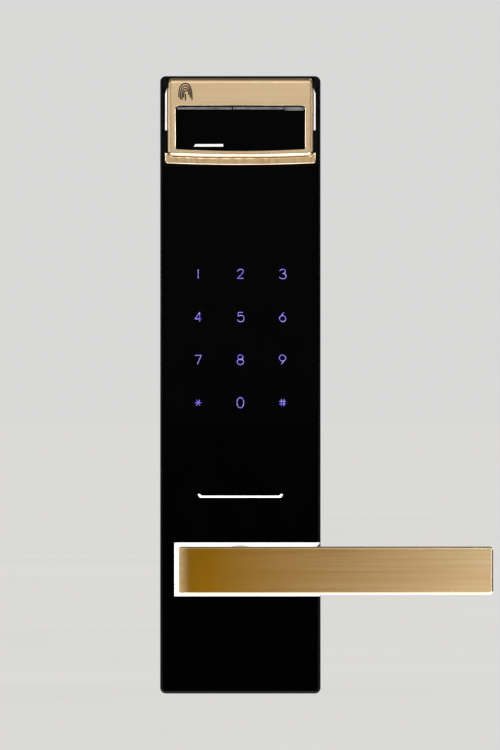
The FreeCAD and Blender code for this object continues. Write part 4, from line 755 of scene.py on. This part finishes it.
class DOORLOCK_OT_cover_and_lip(PieceOperator, bpy.types.Operator):
    """Build the gold cover with its bright bevels and bullnose, and the gold lip under it"""

    bl_idname = "door_lock.cover_and_lip"
    bl_label = "Cover and Lip"

    def execute(self, context):
        self.cover()
        self.lip()
        return {"FINISHED"}

    def cover(self):
        size = sizes()
        low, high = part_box("cover_frame")
        bm = merged_copy("cover_frame")
        side = high.x - 0.2 * MM
        window = sharp_edges_at(bm, low.y, lambda middle: abs(middle.x) < side)
        cut = bevel(bm, window, size.window_bevel, 1)
        for face in cut["faces"]:
            face.material_index = 1
            for vert in face.verts:
                if vert.co.y > low.y + size.window_bevel / 2:
                    vert.co.y = low.y + 0.4 * size.window_bevel
        sides = sharp_edges_at(bm, low.y, lambda middle: abs(middle.x) >= side)
        for face in bevel(bm, sides, size.cover_bevel, 1)["faces"]:
            face.material_index = 1
        bm.normal_update()
        nose = low.z + 2.9 * MM
        for face in bm.faces:
            if face.calc_center_median().z < nose and -0.99 < face.normal.z < -0.2:
                face.material_index = 1
        soften(bm, 28)
        materials = [finish(brushed_champagne_anodising), finish(cut_champagne_bevel)]
        keep_flats_flat(
            new_piece(
                "cover_frame_finished", bm, materials, body_of("cover_frame"), slot_of("cover_frame"),
                "cover_frame",
            )
        )

    def lip(self):
        bm = merged_copy("bay_lip")
        bm.normal_update()
        for face in bm.faces:
            if -0.97 < face.normal.y < -0.2:
                face.material_index = 1
        soften(bm, 28)
        materials = [finish(upright_brushed_anodising), finish(cut_champagne_bevel)]
        keep_flats_flat(
            new_piece("bay_lip_finished", bm, materials, body_of("bay_lip"), slot_of("bay_lip"), "bay_lip")
        )


class DOORLOCK_OT_lever_face(PieceOperator, bpy.types.Operator):
    """Build the lever's brushed gold face, with its bright bevel, fine groove and curled tail"""

    bl_idname = "door_lock.lever_face"
    bl_label = "Lever Face"

    def execute(self, context):
        low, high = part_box("lever_face_plate")
        size = sizes()
        front = low.y
        flat_from = low.x + size.roll_length
        sweep = math.asin(size.roll_length / size.roll_radius)
        start = flat_from - size.roll_radius * sweep
        bm = bmesh.new()
        block(bm, Vector((start, front, low.z)), Vector((high.x, front + size.face_thickness, high.z)))
        bevel(bm, edges_along(bm, 1), size.face_corner, 5)
        face = faces_towards(bm, FRONT)[0]
        rim = bevel(bm, list(face.edges), size.face_bevel, 1)
        bm.normal_update()
        for bevelled in rim["faces"]:
            if bevelled.normal.dot(FRONT) < 0.9999:
                bevelled.material_index = 1
        field = faces_towards(bm, FRONT, 0.99999)
        rim = bmesh.ops.inset_region(bm, faces=field, thickness=size.face_rim, use_even_offset=True)
        # The rim takes the paler gold: a painted highlight.
        for strip in rim["faces"]:
            strip.material_index = 2
        groove = 0.04 * MM
        bmesh.ops.inset_region(bm, faces=field, thickness=groove, depth=-groove, use_even_offset=True)
        facets = 14
        for facet in range(1, facets + 1):
            x = start + (flat_from - start) * facet / facets
            everything = bm.verts[:] + bm.edges[:] + bm.faces[:]
            bmesh.ops.bisect_plane(bm, geom=everything, plane_co=(x, 0, 0), plane_no=(1, 0, 0), dist=1e-7)
        centre = Vector((flat_from, front + size.roll_radius, 0))
        for vert in bm.verts:
            run = flat_from - vert.co.x
            if run > 0:
                radius, angle = centre.y - vert.co.y, run / size.roll_radius
                vert.co.x = centre.x - radius * math.sin(angle)
                vert.co.y = centre.y - radius * math.cos(angle)
        soften(bm, 30)
        materials = [
            finish(brushed_anodising_painted_shade), finish(cut_champagne_bevel), finish(pale_rim_painted_highlight)
        ]
        piece = new_piece(
            "lever_face", bm, materials, body_of("lever_face_plate"), slot_of("lever_face_plate"),
            "lever_face_plate",
        )
        keep_flats_flat(piece)
        return {"FINISHED"}


# Lit symbols as strokes on a grid 4 wide and 6 high, from the lower left. A closed stroke is a loop.
OPEN, CLOSED = False, True
SYMBOLS = {
    "one": [(OPEN, [(2, 0), (2, 6)])],
    "two": [
        (OPEN, [(0.2, 4.6), (0.4, 6), (3.6, 6.2), (3.9, 3.9), (0.4, 0.4), (0.2, 0)]),
        (OPEN, [(0.2, 0), (3.9, 0)]),
    ],
    "three": [
        (OPEN, [(0.3, 5.1), (0.9, 6.1), (3.6, 6.1), (3.6, 3.3), (1.7, 3.3)]),
        (OPEN, [(1.7, 3.3), (4.1, 3.3), (4.1, -0.1), (0.6, -0.3), (0.1, 1.1)]),
    ],
    "four": [(OPEN, [(2.9, 6), (0.1, 1.6)]), (OPEN, [(0.1, 1.6), (4, 1.6)]), (OPEN, [(2.9, 6), (2.9, 0)])],
    "five": [
        (OPEN, [(3.5, 6), (0.8, 6)]),
        (OPEN, [(0.8, 6), (0.6, 3.3)]),
        (OPEN, [(0.6, 3.3), (1.8, 4.1), (4.2, 3.8), (4.1, -0.2), (0.8, -0.3), (0.1, 1.2)]),
    ],
    "six": [
        (OPEN, [(2.8, 6), (0.4, 2.8)]),
        (CLOSED, [(0.1, 1), (0.1, 2.9), (2, 4.2), (3.9, 2.9), (3.9, 0.6), (2, -0.6)]),
    ],
    "seven": [(OPEN, [(0.2, 6), (3.8, 6)]), (OPEN, [(3.8, 6), (1.5, 0)])],
    "eight": [
        (CLOSED, [(0.4, 4), (0.6, 5.8), (2, 6.5), (3.4, 5.8), (3.6, 4), (2, 2.7)]),
        (CLOSED, [(0.1, 0.6), (0.1, 2.6), (2, 3.7), (3.9, 2.6), (3.9, 0.6), (2, -0.6)]),
    ],
    "nine": [
        (OPEN, [(1.2, 0), (3.6, 3.2)]),
        (CLOSED, [(3.9, 5), (3.9, 3.1), (2, 1.8), (0.1, 3.1), (0.1, 5.4), (2, 6.6)]),
    ],
    "star": [(OPEN, [(0, 3), (4, 3)]), (OPEN, [(1, 1.1), (3, 4.9)]), (OPEN, [(3, 1.1), (1, 4.9)])],
    "zero": [(CLOSED, [(0, 1), (0, 5), (2, 7), (4, 5), (4, 1), (2, -1)])],
    "hash": [
        (OPEN, [(1.2, 0.7), (1.3, 5.3)]),
        (OPEN, [(2.8, 0.7), (2.9, 5.3)]),
        (OPEN, [(0.1, 2.1), (3.9, 2.1)]),
        (OPEN, [(0.1, 3.9), (3.9, 3.9)]),
    ],
}


def stroke_mesh(strokes, stroke_width, flatness):
    """Thin rounded ribbons that follow strokes given in metres, facing the front, as a bmesh.

    Flatness is the ribbon's depth as a share of its width.
    """
    curve = bpy.data.curves.new("strokes", "CURVE")
    curve.dimensions = "3D"
    curve.bevel_depth = stroke_width / 2
    curve.bevel_resolution = 2
    curve.resolution_u = 6
    curve.use_fill_caps = True
    for closed, points in strokes:
        spline = curve.splines.new("NURBS")
        spline.points.add(len(points) - 1)
        for point, (x, z) in zip(spline.points, points):
            point.co = (x, 0, z, 1)
        spline.use_cyclic_u = closed
        spline.use_endpoint_u = not closed
        spline.order_u = min(3, len(points))
    holder = bpy.data.objects.new("strokes", curve)
    bpy.context.scene.collection.objects.link(holder)
    depsgraph = bpy.context.evaluated_depsgraph_get()
    mesh = bpy.data.meshes.new_from_object(holder.evaluated_get(depsgraph))
    bm = bmesh.new()
    bm.from_mesh(mesh)
    bmesh.ops.remove_doubles(bm, verts=bm.verts[:], dist=1e-7)
    bmesh.ops.scale(bm, vec=(1, flatness, 1), verts=bm.verts[:])
    bmesh.ops.recalc_face_normals(bm, faces=bm.faces[:])
    bpy.data.objects.remove(holder)
    bpy.data.curves.remove(curve)
    bpy.data.meshes.remove(mesh)
    return bm


class DOORLOCK_OT_key_symbols(PieceOperator, bpy.types.Operator):
    """Draw the twelve lit key symbols on the touch glass"""

    bl_idname = "door_lock.key_symbols"
    bl_label = "Key Symbols"

    def execute(self, context):
        size = sizes()
        low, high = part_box("key_leds")
        centre_z = (low.z + high.z) / 2
        unit_x = (size.symbol_width - size.symbol_stroke) / 4
        unit_z = (size.symbol_height - size.symbol_stroke) / 6
        strokes = []
        for place, symbol in enumerate(SYMBOLS.values()):
            row, column = divmod(place, 3)
            left = (column - 1) * size.key_across - 2 * unit_x
            bottom = centre_z + (1.5 - row) * size.key_down - 3 * unit_z
            for closed, points in symbol:
                strokes.append((closed, [(left + x * unit_x, bottom + z * unit_z) for x, z in points]))
        bm = stroke_mesh(strokes, size.symbol_stroke, 0.06)
        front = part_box("front_glass")[0].y
        bmesh.ops.translate(bm, vec=(0, front, 0), verts=bm.verts[:])
        soften(bm, 60)
        new_piece("key_symbols", bm, [finish(lit_symbol)], body_of("front_glass"), slot_of("key_leds"))
        return {"FINISHED"}


class DOORLOCK_OT_fingerprint_symbol(PieceOperator, bpy.types.Operator):
    """Print a plain fingerprint symbol on the cover's upper band"""

    bl_idname = "door_lock.fingerprint_symbol"
    bl_label = "Fingerprint Symbol"

    def execute(self, context):
        size = sizes()
        low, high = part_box("cover_frame")
        window_low, window_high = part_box("indicator_bars")
        half = size.print_height / 2
        centre_x = window_low.x + half
        centre_z = (window_high.z + high.z) / 2 - 0.6 * MM
        # Each ridge: its share of the outermost one, and how high its left and right legs end.
        ridges = ((1.0, -0.55, 1.0), (0.76, -0.85, 0.62), (0.52, -0.95, 0.2), (0.28, -0.6, -0.55))
        strokes = []
        for share, left_end, right_end in ridges:
            reach = share * half * 0.82
            top = centre_z + share * half * 1.3
            points = [
                (centre_x - reach, centre_z + left_end * half * 0.8),
                (centre_x - reach * 1.05, top),
                (centre_x + reach * 1.05, top),
                (centre_x + reach, centre_z + right_end * half * -0.8),
            ]
            strokes.append((OPEN, points))
        strokes.append((OPEN, [(centre_x, centre_z), (centre_x, centre_z - half * 0.85)]))
        bm = stroke_mesh(strokes, size.print_stroke, 0.05)
        bmesh.ops.translate(bm, vec=(0, low.y, 0), verts=bm.verts[:])
        soften(bm, 60)
        new_piece(
            "fingerprint_symbol", bm, [finish(black_pad_print)], body_of("cover_frame"),
            slot_of("indicator_bars"),
        )
        return {"FINISHED"}


class DOORLOCK_OT_finishes(PieceOperator, bpy.types.Operator):
    """Give every carried-over CAD part its material"""

    bl_idname = "door_lock.finishes"
    bl_label = "Finishes"

    def execute(self, context):
        for node, thing in NODES.items():
            thing.data.materials.clear()
            thing.data.materials.append(finish(FINISHES[node]))
        return {"FINISHED"}


# ---------------------------------------------------------------------------------- stage


# The collection of what the soft lights leave out.
UNLIT = "unlit_by_softboxes"


def aim(thing, target):
    """Turns a light or the camera, which look along their own -Z, towards a point."""
    thing.rotation_euler = (Vector(target) - thing.location).to_track_quat("-Z", "Y").to_euler()


def softbox(name, location, target, width, height, watts):
    """A rectangular white soft light, which leaves the floor unlit."""
    lamp = bpy.data.lights.new(name, "AREA")
    lamp.shape = "RECTANGLE"
    lamp.size, lamp.size_y = width, height
    lamp.energy = watts
    holder = bpy.data.objects.new(name, lamp)
    holder.location = location
    holder.visible_camera = False
    aim(holder, target)
    bpy.context.scene.collection.objects.link(holder)
    holder.light_linking.receiver_collection = bpy.data.collections[UNLIT]
    return holder


# The lock hangs as on its door. Its lever turns down past the lock's foot, so the floor lies lower than
# the turned lever's tip.
TURNED_LEVER_ROOM = 44 * MM
FLOOR = CAD_BOX[0].z - TURNED_LEVER_ROOM


class DOORLOCK_OT_stage(PieceOperator, bpy.types.Operator):
    """Set the pale floor, the soft studio light and the camera"""

    bl_idname = "door_lock.stage"
    bl_label = "Stage"

    def execute(self, context):
        self.floor()
        self.world()
        self.lights()
        self.camera()
        context.scene.view_settings.view_transform = "Standard"
        return {"FINISHED"}

    def floor(self):
        """A wide pale disc that the gloss sees darker away from the lock."""
        radius = 60
        near, far_off = 0.25, 0.6
        bm = bmesh.new()
        bmesh.ops.create_circle(bm, cap_ends=True, radius=radius, segments=96)
        bmesh.ops.translate(bm, vec=(0, 0, FLOOR), verts=bm.verts[:])
        mesh = bpy.data.meshes.new("floor")
        bm.to_mesh(mesh)
        bm.free()
        material, tree, shader = surface("pale_floor", {"Roughness": 0.9, "Specular IOR Level": 0.0})
        mottle = pattern(tree, (400, 400, 400))
        pale = blended(tree, mottle, linear("#E6E5E3"), linear("#E9E8E6"))
        away = add(tree, "VectorMath", {0: add(tree, "TexCoord").outputs["Object"]}, operation="LENGTH")
        fading = {
            "Value": away.outputs["Value"], "From Min": near, "From Max": far_off, "To Min": 0, "To Max": 1
        }
        far = add(tree, "MapRange", fading).outputs["Result"]
        gloss = add(tree, "LightPath").outputs["Is Glossy Ray"]
        dim = add(tree, "Math", {0: far, 1: gloss}, operation="MULTIPLY").outputs[0]
        tone = add(tree, "Mix", {"Factor": dim}, data_type="RGBA")
        tree.links.new(pale, tone.inputs["A"])
        tone.inputs["B"].default_value = (*linear("#303030"), 1)
        tree.links.new(tone.outputs["Result"], shader.inputs["Base Color"])
        mesh.materials.append(material)
        floor = bpy.data.objects.new("floor", mesh)
        bpy.context.scene.collection.objects.link(floor)
        unlit = bpy.data.collections.new(UNLIT)
        unlit.objects.link(floor)
        unlit.collection_objects[0].light_linking.link_state = "EXCLUDE"

    def world(self):
        """A pale surround that the gloss sees darker, so that black stays black."""
        in_diffuse, in_gloss, in_view = 0.5, 0.13, 0.73
        world = bpy.data.worlds.new("studio")
        bpy.context.scene.world = world
        world.use_nodes = True
        tree = world.node_tree
        tree.nodes.clear()
        rays = add(tree, "LightPath")
        strength = {"Value": rays.outputs["Is Glossy Ray"], "To Min": in_diffuse, "To Max": in_gloss}
        unseen = add(tree, "MapRange", strength).outputs["Result"]
        seen = add(tree, "Mix", {"Factor": rays.outputs["Is Camera Ray"]}, data_type="FLOAT")
        tree.links.new(unseen, seen.inputs["A"])
        seen.inputs["B"].default_value = in_view
        pale = {"Color": (*linear("#F9F9F8"), 1), "Strength": seen.outputs["Result"]}
        light = add(tree, "Background", pale)
        output = add(tree, "OutputWorld")
        tree.links.new(light.outputs["Background"], output.inputs["Surface"])

    def lights(self):
        """One wide lamp for the shadow, and soft lights placed for what the metal and glass reflect."""
        sun = bpy.data.lights.new("sky_panel", "SUN")
        sun.energy = 1.6
        sun.angle = math.radians(24)
        holder = bpy.data.objects.new("sky_panel", sun)
        holder.location = (0.1, -1.0, 1.35)
        holder.visible_glossy = False
        aim(holder, (0, 0, 0))
        bpy.context.scene.collection.objects.link(holder)
        cover = (0, -0.02, 0.22)
        table_top = FLOOR + 1 * MM
        edge_y, edge_z = -0.0218, 0.131
        # Each soft light: its name, its place, what it faces, its width and height, and its watts.
        for_gloss_only = (
            ("table_bounce", (0.03, -0.26, table_top), (0.03, -0.26, 1), 0.6, 0.44, 2.0),
            ("overhead_light", (0.02, -0.62, 0.82), (0.02, -0.03, 0), 0.6, 0.36, 1.1),
        )
        for_everything = (
            ("cover_light", (0, -0.6, 0.42), cover, 0.7, 0.16, 1.5),
            ("grip_light", (0.21, -0.37, 0.01), (0.12, -0.068, 0), 0.1, 0.12, 0.15),
            ("left_light", (-0.77, -0.36, 0.06), (0, -0.03, 0.06), 0.3, 0.6, 1.1),
            ("right_light", (0.85, -0.3, 0.1), (0, -0.03, 0.08), 0.3, 0.6, 0.7),
            ("left_cover_light", (-0.6, -0.03, 0.23), cover, 0.2, 0.05, 0.17),
            ("right_cover_light", (0.6, -0.03, 0.23), cover, 0.2, 0.05, 0.24),
            ("glass_edge_light", (-0.6, edge_y, edge_z), (0, edge_y, edge_z), 0.05, 0.098, 0.5),
            ("back_light", (0.7, 1.1, 0.8), (0, 0, 0.1), 0.9, 0.9, 7),
        )
        for light in for_gloss_only:
            softbox(*light).visible_diffuse = False
        for light in for_everything:
            softbox(*light)

    def camera(self):
        """Far off and straight in front, so that the lock is seen with almost no perspective."""
        distance = 8.0
        centre_x, centre_z = 0.0048, 0.0969
        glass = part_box("front_glass")[0].y
        width, height_to_width = 0.2494, 1.5
        sensor = 36
        lens = bpy.data.cameras.new("camera")
        lens.sensor_width = sensor
        lens.lens = sensor * distance / (height_to_width * width)
        lens.clip_start, lens.clip_end = 0.1, 100
        holder = bpy.data.objects.new("camera", lens)
        holder.location = (centre_x, glass - distance, centre_z)
        holder.rotation_euler = (math.radians(90), 0, 0)
        bpy.context.scene.collection.objects.link(holder)
        bpy.context.scene.camera = holder


# ---------------------------------------------------------------------------------- add-on


class DOORLOCK_PT_pieces(bpy.types.Panel):
    """The door lock's pieces, in the order in which they are built"""

    bl_idname = "DOORLOCK_PT_pieces"
    bl_label = "Door Lock"
    bl_space_type = "VIEW_3D"
    bl_region_type = "UI"
    bl_category = "Door Lock"

    def draw(self, context):
        for operator in OPERATORS:
            self.layout.operator(operator.bl_idname)
        for group in (context.scene.door_lock_sizes, context.scene.door_lock_colours):
            box = self.layout.box()
            for name in group.__annotations__:
                box.prop(group, name)


OPERATORS = (
    DOORLOCK_OT_finishes,
    DOORLOCK_OT_refined_parts,
    DOORLOCK_OT_cover_and_lip,
    DOORLOCK_OT_lever_face,
    DOORLOCK_OT_key_symbols,
    DOORLOCK_OT_fingerprint_symbol,
    DOORLOCK_OT_stage,
)
CLASSES = (DoorLockSizes, DoorLockColours, *OPERATORS, DOORLOCK_PT_pieces)


def register():
    for thing in CLASSES:
        bpy.utils.register_class(thing)
    bpy.types.Scene.door_lock_sizes = bpy.props.PointerProperty(type=DoorLockSizes)
    bpy.types.Scene.door_lock_colours = bpy.props.PointerProperty(type=DoorLockColours)


def unregister():
    del bpy.types.Scene.door_lock_colours
    del bpy.types.Scene.door_lock_sizes
    for thing in reversed(CLASSES):
        bpy.utils.unregister_class(thing)


def main():
    register()
    for operator in OPERATORS:
        group, name = operator.bl_idname.split(".")
        getattr(getattr(bpy.ops, group), name)()


if __name__ == "__main__":
    main()
